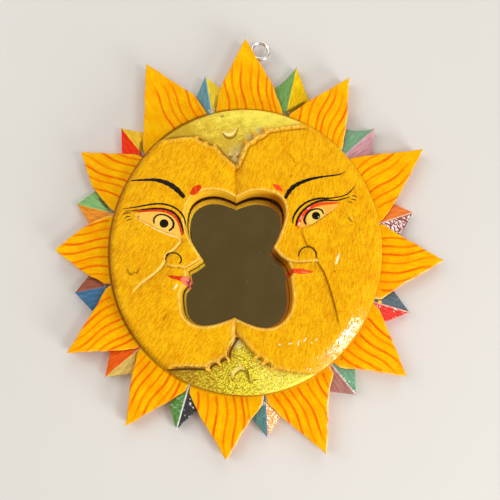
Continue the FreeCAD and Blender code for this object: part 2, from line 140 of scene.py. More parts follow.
# How much of a raised lip with a painted highlight, of a groove behind it with painted shade, and of painted
# shade at the foot each edge has
LIPS = {
    ("top", "left"): (0.45, 0.15, 0.3),
    ("top", "right"): (1.0, 0.75, 0.0),
    ("bottom", "left"): (0.5, 0.0, 1.0),
    ("bottom", "right"): (0.3, 0.1, 0.4),
}
# Middles of the small carved teeth that stand on those edges
TEETH = {
    "left": [(-22.7, 50.2), (-18.6, 47.5), (-14.6, 46.6), (-16.8, -54.1), (-12.1, -51.6), (-8.2, -50.0)],
    "right": [(-0.1, 48.7), (3.6, 52.3), (8.1, 54.8), (3.6, -49.4), (6.8, -51.8), (10.6, -54.0)],
}

# Black and red brush strokes of each face, as points of (x, y, half width)
INK = {
    "left": {
        "brow": [(-52.1, 29.5, 0.25), (-45.7, 29.8, 0.5), (-41.5, 29.7, 0.7), (-38.1, 29.0, 0.9),
                 (-34.2, 27.3, 1.05), (-31.4, 25.2, 1.05), (-28.0, 21.5, 0.8)],
        "lid crease": [(-55.6, 16.3, 0.08), (-47.3, 17.5, 0.3), (-39.4, 18.6, 0.37), (-32.6, 17.0, 0.37),
                       (-28.2, 12.6, 0.33), (-26.9, 7.7, 0.08)],
        "lash line": [(-54.2, 15.2, 0.1), (-47.3, 15.8, 0.28), (-38.6, 16.4, 0.38), (-32.2, 14.2, 0.45),
                      (-28.9, 8.5, 0.4), (-28.1, 5.0, 0.2)],
        "iris": [(-41.1, 9.5, 0.3), (-41.3, 11.5, 0.36), (-40.3, 12.9, 0.33), (-38.1, 13.6, 0.32),
                 (-35.7, 13.1, 0.34), (-33.7, 11.7, 0.4), (-32.6, 9.7, 0.44), (-32.9, 7.7, 0.44),
                 (-34.6, 6.2, 0.34)],
        "nostril": [(-35.9, -6.8, 0.22), (-35.5, -5.2, 0.28), (-34.4, -4.0, 0.28), (-32.6, -3.6, 0.28),
                    (-30.6, -4.2, 0.28), (-29.2, -5.6, 0.28), (-28.9, -7.2, 0.28), (-29.6, -8.6, 0.2)],
        "first wrinkle": [(-55.5, 13.5, 0.06), (-54.6, 14.2, 0.22), (-51.8, 14.3, 0.1)],
        "second wrinkle": [(-54.5, 11.9, 0.06), (-53.5, 12.6, 0.22), (-51.9, 12.9, 0.1)],
        "third wrinkle": [(-53.9, 10.8, 0.08), (-52.5, 11.4, 0.16), (-51.1, 11.7, 0.08)],
    },
    "right": {
        "brow": [(17.6, 21.2, 0.6), (19.2, 24.3, 0.85), (21.4, 26.7, 0.9), (25.0, 28.8, 0.75),
                 (29.1, 30.3, 0.62), (34.1, 31.4, 0.42), (39.2, 32.1, 0.32), (42.9, 32.8, 0.24),
                 (45.4, 34.0, 0.06)],
        "lid crease": [(20.8, 9.6, 0.2), (21.0, 12.1, 0.36), (22.1, 14.5, 0.44), (24.4, 17.4, 0.44),
                       (27.3, 19.5, 0.4), (30.5, 20.8, 0.42), (34.2, 21.4, 0.4), (37.5, 21.4, 0.32),
                       (41.1, 21.9, 0.24), (44.4, 22.7, 0.24), (46.5, 23.8, 0.24), (48.0, 25.2, 0.22),
                       (49.5, 27.1, 0.08)],
        "lash line": [(22.2, 8.4, 0.3), (22.8, 11.3, 0.4), (24.3, 14.1, 0.44), (26.8, 16.8, 0.44),
                      (29.7, 18.7, 0.46), (32.9, 20.0, 0.48), (36.2, 20.5, 0.42), (39.5, 20.3, 0.32),
                      (42.7, 20.8, 0.27), (45.2, 21.5, 0.22), (47.3, 22.1, 0.1)],
        "iris": [(26.8, 9.2, 0.36), (26.0, 10.9, 0.48), (26.5, 12.9, 0.48), (28.0, 15.0, 0.44),
                 (30.4, 16.2, 0.36), (32.8, 16.3, 0.33), (34.2, 15.4, 0.36), (34.7, 14.0, 0.28)],
        "nostril": [(23.1, -5.4, 0.18), (23.5, -3.4, 0.24), (25.2, -1.5, 0.24), (27.2, -0.9, 0.24),
                    (29.2, -1.5, 0.24), (30.5, -3.0, 0.24), (31.1, -5.4, 0.18)],
        "first wrinkle": [(48.1, 22.5, 0.1), (49.3, 22.6, 0.2), (50.3, 21.9, 0.12)],
        "second wrinkle": [(47.6, 20.8, 0.1), (48.8, 20.9, 0.2), (49.9, 20.4, 0.12)],
        "third wrinkle": [(46.0, 19.8, 0.08), (47.2, 19.6, 0.16), (48.2, 19.1, 0.08)],
    },
}
RED = {
    "left": {
        "lid": [(-51.2, 14.8, 0.12), (-47.3, 15.0, 0.4), (-43.3, 15.4, 0.56), (-38.6, 15.5, 0.67),
                (-35.4, 14.8, 0.67), (-32.9, 13.3, 0.6), (-30.9, 10.9, 0.52), (-29.7, 8.1, 0.52),
                (-28.7, 4.6, 0.5)],
        "lips": [(-34.8, -13.8, 0.2), (-33.0, -14.3, 0.7), (-30.8, -14.8, 0.85), (-28.5, -15.3, 1.1),
                 (-26.0, -15.9, 1.6)],
        "bead": [(-24.3, 23.8, 1.2), (-23.0, 25.1, 1.65), (-21.6, 26.4, 1.2)],
    },
    "right": {
        "lid": [(23.2, 7.4, 0.4), (23.6, 10.4, 0.75), (25.1, 13.5, 0.85), (27.6, 16.2, 0.85),
                (30.9, 17.9, 0.85), (34.5, 18.8, 0.75), (38.2, 19.0, 0.6), (41.9, 19.4, 0.3)],
        "lips": [(20.4, -11.6, 0.9), (23.2, -11.9, 1.2), (26.1, -12.2, 0.9), (29.6, -12.2, 0.2)],
        "bead": [(12.4, 27.7, 0.4), (14.2, 26.4, 1.2), (16.0, 25.0, 0.5)],
    },
}
# Pupils as short round strokes, and the pink painted highlights on the lips
PUPILS = {
    "left": [[(-36.9, 9.5, 1.9), (-36.7, 9.5, 1.9)]],
    "right": [[(31.2, 13.2, 1.8), (31.4, 13.2, 1.8)]],
}
LIP_HIGHLIGHTS = {
    "left": [[(-28.1, -15.5, 0.9), (-26.2, -15.3, 1.4), (-24.8, -14.9, 1.2)],
             [(-27.3, -17.0, 0.9), (-26.7, -17.5, 0.8), (-26.1, -18.0, 0.7)]],
    "right": [[(24.2, -12.4, 0.15), (25.6, -12.5, 0.3), (27.0, -12.5, 0.1)]],
}
# Cuts along the lower lids, beside the right face's nose and down its fold, darkened with painted shade
CUTS = {
    "left": [[(-50.8, 13.1, 0.05), (-45.2, 10.0, 0.1), (-39.5, 7.0, 0.1), (-34.4, 4.8, 0.05)]],
    "right": [[(41.4, 17.5, 0.08), (37.2, 14.2, 0.14), (33.5, 11.7, 0.14), (29.4, 9.0, 0.12),
               (25.2, 7.3, 0.06)],
              [(24.6, 6.2, 0.12), (25.7, 3.3, 0.18), (26.9, 0.3, 0.14)],
              [(31.6, -7.6, 0.16), (33.7, -11.4, 0.17), (35.9, -16.9, 0.15), (38.0, -24.2, 0.13),
               (39.6, -31.5, 0.1), (40.6, -37.0, 0.04)]],
}
# Small brown spots and cracks, and pale scratches, chips, painted glints and painted highlights
SPOTS = {
    "left": [[(-49.0, 7.0, 0.35), (-48.8, 7.1, 0.35)], [(-48.4, 12.7, 0.4), (-48.2, 12.8, 0.4)],
             [(-36.6, -33.5, 0.12), (-35.4, -31.5, 0.3), (-34.6, -30.3, 0.12)],
             [(-12.6, 34.0, 0.2), (-12.2, 33.4, 0.2)],
             [(-52.4, -10.6, 0.2), (-51.4, -12.8, 0.55), (-50.2, -13.2, 0.5), (-49.4, -11.9, 0.25)],
             [(-49.3, -12.2, 0.2), (-48.4, -12.6, 0.45), (-47.3, -10.8, 0.2)]],
    "right": [[(20.2, 31.6, 0.4), (20.8, 32.2, 0.4)], [(38.9, -11.8, 0.4), (39.1, -12.1, 0.4)],
              [(50.9, 6.8, 0.3), (51.1, 6.9, 0.3)], [(47.5, 1.7, 0.26), (47.7, 1.8, 0.26)],
              [(45.9, 12.6, 0.3), (46.6, 11.5, 0.5), (47.6, 10.6, 0.3)],
              [(45.2, 13.7, 0.15), (45.9, 13.9, 0.2)], [(48.6, 13.0, 0.1), (49.0, 12.2, 0.2)],
              [(46.1, 9.3, 0.15), (47.2, 9.0, 0.2)], [(48.9, 10.4, 0.2), (49.3, 9.6, 0.1)],
              [(19.3, 42.6, 0.1), (21.5, 40.0, 0.14), (22.6, 36.2, 0.1)],
              [(12.6, 46.0, 0.08), (13.4, 44.4, 0.16)]],
}
SCRATCHES_AND_GLINTS = {
    "left": [[(-30.6, 25.1, 0.3), (-30.3, 24.7, 0.3)],
             [(-50.6, 12.5, 0.02), (-45.2, 9.4, 0.1), (-39.6, 6.4, 0.14), (-34.4, 4.2, 0.14),
              (-30.6, 2.9, 0.06)],
             [(-32.0, -19.9, 0.1), (-31.0, -18.6, 0.4), (-30.6, -17.4, 0.2)]],
    "right": [[(41.5, -3.8, 0.15), (40.6, -6.2, 0.45), (39.7, -8.6, 0.3)],
              [(47.4, 12.4, 0.2), (47.6, 12.0, 0.2)], [(31.0, -6.6, 0.3), (31.4, -7.2, 0.3)],
              [(13.9, -43.8, 0.3), (14.2, -43.8, 0.3)], [(17.8, -43.6, 0.15), (19.5, -43.2, 0.15)],
              [(22.0, -44.2, 0.25), (22.5, -41.9, 0.2)], [(24.6, -42.6, 0.2), (25.7, -41.1, 0.2)],
              [(27.8, -43.2, 0.25), (28.1, -42.9, 0.25)], [(29.7, -42.4, 0.15), (30.4, -41.4, 0.2)],
              [(32.3, 12.3, 0.12), (32.5, 12.9, 0.18)], [(23.3, 8.3, 0.12), (23.7, 9.9, 0.28)],
              [(24.2, 11.6, 0.12), (24.9, 13.1, 0.22)], [(27.4, 16.3, 0.12), (28.6, 17.0, 0.2)]],
}
# Outlines of the eye whites, and the cheek's carved edge, from the eye's outer corner down
EYE_FIELDS = {
    "left": [(-50.4, 13.6), (-43.3, 15.4), (-37.8, 15.6), (-33.4, 13.8), (-30.8, 10.3), (-29.4, 6.0),
             (-29.2, 3.4), (-35.2, 5.2), (-39.5, 7.2), (-45.1, 10.1)],
    "right": [(25.0, 7.4), (24.0, 10.9), (26.3, 15.0), (30.2, 17.6), (35.3, 18.8), (41.4, 19.0),
              (41.6, 17.7), (37.2, 14.2), (33.5, 11.7), (29.4, 9.0)],
}
CHEEK_EDGES = {
    "left": [(-50.8, 13.3), (-45.2, 10.2), (-39.5, 7.2), (-34.4, 5.0), (-30.0, 2.9), (-29.4, 1.9),
             (-30.9, -0.4), (-33.2, -3.0), (-35.8, -5.0), (-36.4, -7.6), (-38.7, -10.9), (-41.4, -13.5),
             (-46.3, -17.2), (-50.6, -22.2)],
    "right": [(41.4, 17.5), (37.2, 14.2), (33.5, 11.7), (29.4, 9.0), (25.2, 7.3), (24.6, 6.2), (25.7, 3.3),
              (26.9, 0.2), (29.6, -1.2), (31.4, -4.6), (31.5, -7.4), (33.7, -11.4),
              (35.9, -16.9), (38.0, -24.2), (39.6, -31.5), (40.8, -38.0)],
}
# The nose's lower edge, from its tip to the cheek
NOSE_BASES = {
    "left": [(-20.6, -6.4), (-24.2, -8.6), (-27.2, -10.2), (-30.2, -9.8), (-33.5, -9.6), (-36.2, -8.2)],
    "right": [(12.4, -1.8), (14.8, -4.5), (18.7, -7.0), (23.5, -7.7), (28.0, -7.5), (31.4, -7.2)],
}
# Centre, half length, half width and turn in degrees of the eyeball, and centre and radius of the nose's wing
EYEBALLS = {"left": (-38.6, 9.9, 10.5, 4.6, -22.0), "right": (32.0, 13.2, 9.5, 4.6, 32.0)}
WINGS = {"left": (-32.3, -6.8, 3.4), "right": (27.2, -4.8, 4.0)}
# Each 30 degrees from the top ray: how far the top of the rim leans in from its foot, the share of the rim's
# reach where a brown painted shadow line at its foot runs on the rays, and how strong that line is
RIM_LEAN = [0.5, 0.8, 0.5, 0.4, 0.8, 0.8, 0.5, 0.2, 0.4, 1.2, 1.4, 0.7]
RIM_LINE = [1.033, 1.033, 1.033, 1.030, 1.013, 1.003, 1.004, 1.016, 1.020, 1.016, 1.016, 1.035]
FOOT_SHADOW_STRENGTH = [0.6, 0.5, 0.35, 0.1, 0.1, 0.15, 0.2, 0.6, 0.8, 0.9, 0.9, 0.8]


# Curves and distances


def soft_step(low, high, value):
    """0 at low and 1 at high, with a soft S between them; low may be the greater one."""
    share = np.clip((value - low) / (high - low), 0, 1)
    return share * share * (3 - 2 * share)


def bump(gap, width):
    """A round bump: 1 at the middle and near nothing at twice the width."""
    return np.exp(-(gap / width) ** 2)


def dome(level):
    """Height of a half ball of radius 1 at a distance from its middle."""
    return np.sqrt(np.clip(1 - level**2, 0, 1))


def rounding(gap, radius):
    """Drop of a rounded edge at a distance in from it: a quarter circle."""
    inward = np.clip(radius - gap, 0, radius)
    return radius - np.sqrt(radius**2 - inward**2)


def ripple(x, y, length, seed):
    """Unevenness from about -1 to 1: a third of the sum of six waves of like length in six directions."""
    total = np.zeros_like(x)
    for n in range(6):
        angle = seed + 1.05 * n
        wave = length * (0.7 + 0.12 * n)
        total += np.sin(2 * np.pi * (x * np.cos(angle) + y * np.sin(angle)) / wave + 2.4 * n * seed)
    return total / 3


def unit(vectors):
    """Vectors of the same directions and of length 1."""
    return vectors / np.linalg.norm(vectors, axis=-1, keepdims=True)


def between(first, second, shares):
    """A grid of points: each row has the points at some shares of the way from one line to another."""
    return first[:, None] + shares[None, :, None] * (second - first)[:, None]


def smooth_line(points, count):
    """Natural cubic spline through points by chord length, at even steps; a third column follows along."""
    points = np.asarray(points, float)
    gaps = np.linalg.norm(np.diff(points[:, :2], axis=0), axis=1)
    stops = np.concatenate([[0], np.cumsum(gaps)])
    size = len(points)
    matrix = np.eye(size)
    inner = np.arange(1, size - 1)
    matrix[inner, inner - 1] = gaps[:-1]
    matrix[inner, inner] = 2 * (gaps[:-1] + gaps[1:])
    matrix[inner, inner + 1] = gaps[1:]
    right = np.zeros_like(points)
    right[1:-1] = 6 * np.diff(np.diff(points, axis=0) / gaps[:, None], axis=0)
    bends = np.linalg.solve(matrix, right)
    at = np.linspace(0, stops[-1], count)
    piece = np.clip(np.searchsorted(stops, at, "right") - 1, 0, size - 2)
    before = (at - stops[piece])[:, None]
    after = (stops[piece + 1] - at)[:, None]
    gap = gaps[piece][:, None]
    bent = (bends[piece] * after**3 + bends[piece + 1] * before**3) / (6 * gap)
    return bent + (points[piece] / gap - bends[piece] * gap / 6) * after + (
        points[piece + 1] / gap - bends[piece + 1] * gap / 6) * before


def circle_arc(start, middle, end, count):
    """Points on the circle through three points, from the first to the last."""
    sides = 2 * np.array([middle - start, end - start])
    centre = np.linalg.solve(sides, [middle @ middle - start @ start, end @ end - start @ start])
    radius = np.hypot(*(start - centre))
    angles = np.unwrap([np.arctan2(*(p - centre)[::-1]) for p in (start, middle, end)])
    turns = np.linspace(angles[0], angles[2], count)
    return centre + radius * np.stack([np.cos(turns), np.sin(turns)], -1)


def spaced(line, count, corners=()):
    """Points at even distances along a polyline, with the nearest ones moved onto its corners."""
    line = np.asarray(line, float)
    stops = np.concatenate([[0], np.cumsum(np.hypot(*np.diff(line, axis=0).T))])
    at = np.linspace(0, stops[-1], count)
    for corner in corners:
        place = stops[np.argmin(np.hypot(*(line - corner).T))]
        at[np.argmin(abs(at - place))] = place
    return np.stack([np.interp(at, stops, line[:, 0]), np.interp(at, stops, line[:, 1])], -1)


def near_line(x, y, line):
    """For each point, at the nearest place of a polyline: the distance, the side (1 on the left of the way
    along it), the line's third column or 0, and the share of the line's runs that lie behind."""
    best = [np.full(x.shape, 1e9), np.ones(x.shape), np.zeros(x.shape), np.zeros(x.shape)]
    for n, (start, end) in enumerate(zip(line[:-1], line[1:])):
        run = end - start
        share = ((x - start[0]) * run[0] + (y - start[1]) * run[1]) / max(run[0]**2 + run[1]**2, 1e-12)
        share = np.clip(share, 0, 1)
        off_x = x - start[0] - share * run[0]
        off_y = y - start[1] - share * run[1]
        gap = np.hypot(off_x, off_y)
        side = np.where(run[0] * off_y - run[1] * off_x >= 0, 1.0, -1.0)
        third = start[2] + share * run[2] if len(start) > 2 else 0.0
        found = (gap, side, third, (n + share) / (len(line) - 1))
        closer = gap < best[0]
        best = [np.where(closer, new, old) for new, old in zip(found, best)]
    return best


def line_gap(x, y, *lines):
    """Distance to the nearest of some polylines, less its third column where it has one, and FAR at most."""
    field = np.full(x.shape, FAR)
    for line in lines:
        low = line[:, :2].min(0) - FAR
        high = line[:, :2].max(0) + FAR
        near = (x > low[0]) & (x < high[0]) & (y > low[1]) & (y < high[1])
        gap, _, half, _ = near_line(x[near], y[near], line)
        field[near] = np.minimum(field[near], gap - half)
    return field


def stroke_gap(x, y, strokes):
    """Distance outside the nearest of some brush strokes, negative inside: a few points give each stroke."""
    return line_gap(x, y, *(smooth_line(points, 12 * len(points)) for points in strokes))


def patch_gap(x, y, outline):
    """Distance to a closed outline, negative inside: inside is where the crossings to the right are odd."""
    line = np.array(outline + outline[:1], float)
    gap = near_line(x, y, line)[0]
    inside = np.zeros(x.shape, bool)
    for (x0, y0), (x1, y1) in zip(line[:-1], line[1:]):
        crosses = (y0 > y) != (y1 > y)
        inside ^= crosses & (x < x0 + (y - y0) * (x1 - x0) / (y1 - y0 if y1 != y0 else 1e-9))
    return np.minimum(np.where(inside, -gap, gap), FAR)


def rim_reach(bearing):
    """Reach of the disc's elliptic rim at a bearing."""
    angle = np.radians(bearing)
    return 1 / np.hypot(np.sin(angle) / RIM_HALF_WIDTH, np.cos(angle) / RIM_HALF_HEIGHT)


def polar(bearing, share=1.0):
    """The point at a bearing whose reach is a share of the rim's."""
    angle = np.radians(bearing)
    reach = share * rim_reach(bearing)
    return np.stack([reach * np.sin(angle), reach * np.cos(angle)], -1)


def around_rim(values, bearing):
    """Values given at even bearings from the top ray, joined by soft steps."""
    values = np.asarray(values)
    place = np.asarray(bearing) * len(values) / 360 % len(values)
    before = np.floor(place).astype(int)
    share = soft_step(0, 1, place - before)
    return values[before % len(values)] * (1 - share) + values[(before + 1) % len(values)] * share


def leaning(bearing):
    """Share of the rim's reach where the rim's top edge is at a bearing."""
    return 1 - around_rim(RIM_LEAN, bearing) / rim_reach(bearing)


def rim_top(bearing):
    """The point of the rim's top edge at a bearing."""
    return polar(bearing, leaning(bearing))


def rim_gap(x, y):
    """Distance in from the rim's top edge: its level less the ellipse's level, over that level's slope."""
    level = np.hypot(x / RIM_HALF_WIDTH, y / RIM_HALF_HEIGHT)
    slope = np.hypot(x / RIM_HALF_WIDTH**2, y / RIM_HALF_HEIGHT**2) / np.maximum(level, 1e-9)
    return (leaning(np.degrees(np.arctan2(x, y))) - level) / np.maximum(slope, 1e-9)


# Making pieces

# Edges that turn by more than this stay sharp
SHARP_TURN = math.radians(48)


def add_tubes(name, grids, material, nodes=(), values=None, flip=False, smooth=True):
    """Makes a piece from closed tubes in millimetres: each is a grid whose rows are rings of points, with a
    cap on its first and its last row. Values at the points become the mesh's attributes."""
    points = np.concatenate([grid.reshape(-1, 3) for grid in grids])
    quads, caps = [], []
    start = 0
    for rows, columns in (grid.shape[:2] for grid in grids):
        ring = np.arange(columns)
        ahead = np.roll(ring, -1)
        row = start + columns * np.arange(rows - 1)[:, None]
        quads.append(np.stack([row + ring, row + ahead, row + columns + ahead, row + columns + ring], -1))
        caps += [start + ring[::-1], start + (rows - 1) * columns + ring]
        start += rows * columns
    faces = [face for grid in quads for face in grid.reshape(-1, 4)] + caps
    way = -1 if flip else 1
    corners = np.concatenate([face[::way] for face in faces]).astype(np.int32)
    sizes = np.array([len(face) for face in faces])
    mesh = bpy.data.meshes.new(name)
    mesh.vertices.add(len(points))
    mesh.vertices.foreach_set("co", (points * MM).astype(np.float32).ravel())
    mesh.loops.add(len(corners))
    mesh.loops.foreach_set("vertex_index", corners)
    mesh.polygons.add(len(sizes))
    mesh.polygons.foreach_set("loop_start", (np.cumsum(sizes) - sizes).astype(np.int32))
    mesh.update(calc_edges=True)
    mesh.validate()
    mesh.set_sharp_from_angle(angle=SHARP_TURN)
    mesh.polygons.foreach_set("use_smooth", np.full(len(mesh.polygons), smooth))
    mesh.materials.append(material)
    for label, field in (values or {}).items():
        field = np.asarray(field, np.float32)
        kind, item = ("FLOAT_VECTOR", "vector") if field.size == 3 * len(points) else ("FLOAT", "value")
        mesh.attributes.new(label, kind, "POINT").data.foreach_set(item, field.ravel())
    piece = bpy.data.objects.new(name, mesh)
    bpy.context.scene.collection.objects.link(piece)
    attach(piece, "root")
    if nodes:
        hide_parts(*nodes)


# Shader nodes


class Field:
    """A number, colour or vector that shader nodes work out. Sums with fields and numbers make new nodes."""

    def __init__(self, socket):
        self.socket = socket
        self.tree = socket.id_data

    def sums(self, operation, first, second):
        """One sum of two numbers."""
        return add_node(self.tree, "Math", {0: first, 1: second}, operation=operation)

    def __add__(self, other):
        return self.sums("ADD", self, other)

    def __sub__(self, other):
        return self.sums("SUBTRACT", self, other)

    def __rsub__(self, other):
        return self.sums("SUBTRACT", other, self)

    def __mul__(self, other):
        return self.sums("MULTIPLY", self, other)

    __rmul__ = __mul__

    def below(self, other):
        """1 where this number is less than another, and 0 elsewhere."""
        return self.sums("LESS_THAN", self, other)

    def highest(self, other):
        """The greater one of two numbers."""
        return self.sums("MAXIMUM", self, other)

    def ramp(self, low, high, out_low=0.0, out_high=1.0):
        """A soft step of this number between two levels."""
        levels = {0: self, 1: low, 2: high, 3: out_low, 4: out_high}
        return add_node(self.tree, "MapRange", levels, interpolation_type="SMOOTHSTEP")

    def stretch(self, factors):
        """This vector times a factor for each axis."""
        return add_node(self.tree, "VectorMath", {0: self, 1: tuple(factors)}, operation="MULTIPLY")

    def turn(self, angle):
        """This vector turned about Z."""
        return add_node(self.tree, "VectorRotate", {"Vector": self, "Angle": angle}, rotation_type="Z_AXIS")


def feed(value, socket):
    """Links a field to a socket, or sets the socket to a plain value."""
    if isinstance(value, Field):
        value.tree.links.new(value.socket, socket)
    else:
        socket.default_value = value


def add_node(tree, kind, sockets=None, output=0, **settings):
    """One output of a new shader node with some settings and inputs."""
    item = tree.nodes.new("ShaderNode" + kind)
    for key, value in settings.items():
        setattr(item, key, value)
    for key, value in (sockets or {}).items():
        feed(value, item.inputs[key])
    return Field(item.outputs[output])


def mix(factor, first, second):
    """The first colour where the factor is 0 and the second where it is 1."""
    return add_node(factor.tree, "Mix", {0: factor, 6: first, 7: second}, 2, data_type="RGBA")


def paint(red, green, blue):
    """A colour given as it looks on a screen, 0 to 255, as the shader's linear values."""
    shown = np.array([red, green, blue]) / 255
    linear = np.where(shown < 0.04045, shown / 12.92, ((shown + 0.055) / 1.055) ** 2.4)
    return (*linear.tolist(), 1.0)


def attribute(tree, label, output="Fac"):
    """The piece's own attribute."""
    return add_node(tree, "Attribute", None, output, attribute_name=label)


def place(tree, lengths=1.0, turn=None):
    """Object coordinates divided by a length in millimetres for each axis, and before that turned about Z."""
    where = add_node(tree, "TexCoord", None, "Object")
    if turn is not None:
        where = where.turn(turn)
    return where.stretch(1 / (MM * np.broadcast_to(lengths, 3)))


def noise(vector, detail, roughness=0.55):
    """Soft noise from 0 to 1 over a vector."""
    settings = {"Vector": vector, "Scale": 1.0, "Detail": detail, "Roughness": roughness}
    return add_node(vector.tree, "TexNoise", settings, "Fac")


def cells(vector):
    """Irregular cells over a vector: a random shade for each, and the distance from its middle."""
    colour = add_node(vector.tree, "TexVoronoi", {"Vector": vector, "Scale": 1.0}, "Color")
    return add_node(vector.tree, "SeparateColor", {0: colour}), Field(colour.socket.node.outputs["Distance"])


def new_group(name, inputs, outputs):
    """An empty node group of numbers: its tree, its inputs as fields, and the sockets of its outputs."""
    tree = bpy.data.node_groups.new(name, "ShaderNodeTree")
    for label, value in inputs.items():
        tree.interface.new_socket(label, in_out="INPUT", socket_type="NodeSocketFloat").default_value = value
    for label in outputs:
        tree.interface.new_socket(label, in_out="OUTPUT", socket_type="NodeSocketFloat")
    source = tree.nodes.new("NodeGroupInput")
    target = tree.nodes.new("NodeGroupOutput")
    return tree, {label: Field(source.outputs[label]) for label in inputs}, target.inputs


def use_group(tree, group, **values):
    """The outputs of a node group in a material, by name."""
    item = tree.nodes.new("ShaderNodeGroup")
    item.node_tree = group
    for key, value in values.items():
        feed(value, item.inputs[key])
    return {socket.name: Field(socket) for socket in item.outputs}


def brush_edge_group():
    """Mask of a painted shape from its distance field: 1 inside, with an edge that wavers like a brush's."""
    tree, given, out = new_group("brush edge", {"Gap": 0.0, "Softness": 0.08, "Waver": 0.12}, ["Mask"])
    wavering = (noise(place(tree, 0.9), 2.0) - 0.5) * given["Waver"] + given["Gap"]
    feed(wavering.ramp(given["Softness"], -1.0 * given["Softness"]), out["Mask"])
    return tree


def brushed_group():
    """Brushed paint over carved wood: slanting streaks, chisel facets and fine grain, as tone and height."""
    tree, given, out = new_group("brushed paint", {"Turn": 0.4}, ["Tone", "Height"])
    streak = noise(place(tree, (0.55, 3.2, 2.0), given["Turn"]), 3.0, 0.6)
    facets = noise(place(tree, (7.0, 9.0, 8.0)), 2.0, 0.5)
    grain = noise(place(tree, (0.6, 0.7, 1.0)), 2.0, 0.6)
    total = 0.8 * streak + 0.25 * facets + 0.5 * grain
    feed(total.ramp(0.57, 0.98), out["Tone"])
    feed(0.5 * total, out["Height"])
    return tree


# Length of the noise that makes the flecks' edges ragged
RAGGED_LENGTH = 1 / 2.2


def flecks_group():
    """Mask of scattered flecks: cells whose random shade is low, near their middles, with ragged edges."""
    tree, given, out = new_group("flecks", {"Spacing": 4.0, "Share": 0.1, "Size": 0.2}, ["Mask"])
    even = add_node(tree, "VectorMath", {0: place(tree), 1: given["Spacing"]}, operation="DIVIDE")
    shade, distance = cells(even)
    ragged = 0.25 * (noise(place(tree, RAGGED_LENGTH), 2.0, 0.6) - 0.5) + distance
    feed(shade.below(given["Share"]) * ragged.below(given["Size"]), out["Mask"])
    return tree


BRUSH_EDGE = brush_edge_group()
BRUSHED = brushed_group()
FLECKS = flecks_group()


def painted(under, label, colour, softness, waver=0.12, strength=1.0):
    """A colour brushed over another where the piece's distance field of a name is negative, and its mask."""
    gap = attribute(under.tree, label)
    mask = use_group(under.tree, BRUSH_EDGE, Gap=gap, Softness=softness, Waver=waver)["Mask"]
    return mix(strength * mask, under, colour), mask


def flecked(under, colour, strength, **sizes):
    """A colour with scattered flecks of another."""
    return mix(strength * use_group(under.tree, FLECKS, **sizes)["Mask"], under, colour)


def new_material(name, **constants):
    """A material and its tree, with the shader's plain values set; spaces in their names are underscores."""
    material = bpy.data.materials.new(name)
    material.use_nodes = True
    set_shader(material, constants)
    return material, material.node_tree


def set_shader(material, values):
    """Sets or links inputs of a material's shader."""
    shader = material.node_tree.nodes["Principled BSDF"]
    for key, value in values.items():
        feed(value, shader.inputs[key.replace("_", " ")])


def finish(material, colour, height=None, depth=0.0, coat=None, coat_depth=0.0, **links):
    """Links a colour, bumps of some depth in millimetres and other fields to a material's shader."""
    links["Base_Color"] = colour
    for key, relief, reach in (("Normal", height, depth), ("Coat_Normal", coat, coat_depth)):
        if relief is not None:
            sockets = {"Strength": 1.0, "Distance": reach * MM, "Height": relief}
            links[key] = add_node(material.node_tree, "Bump", sockets)
    set_shader(material, links)
    return material


# Paints and finishes


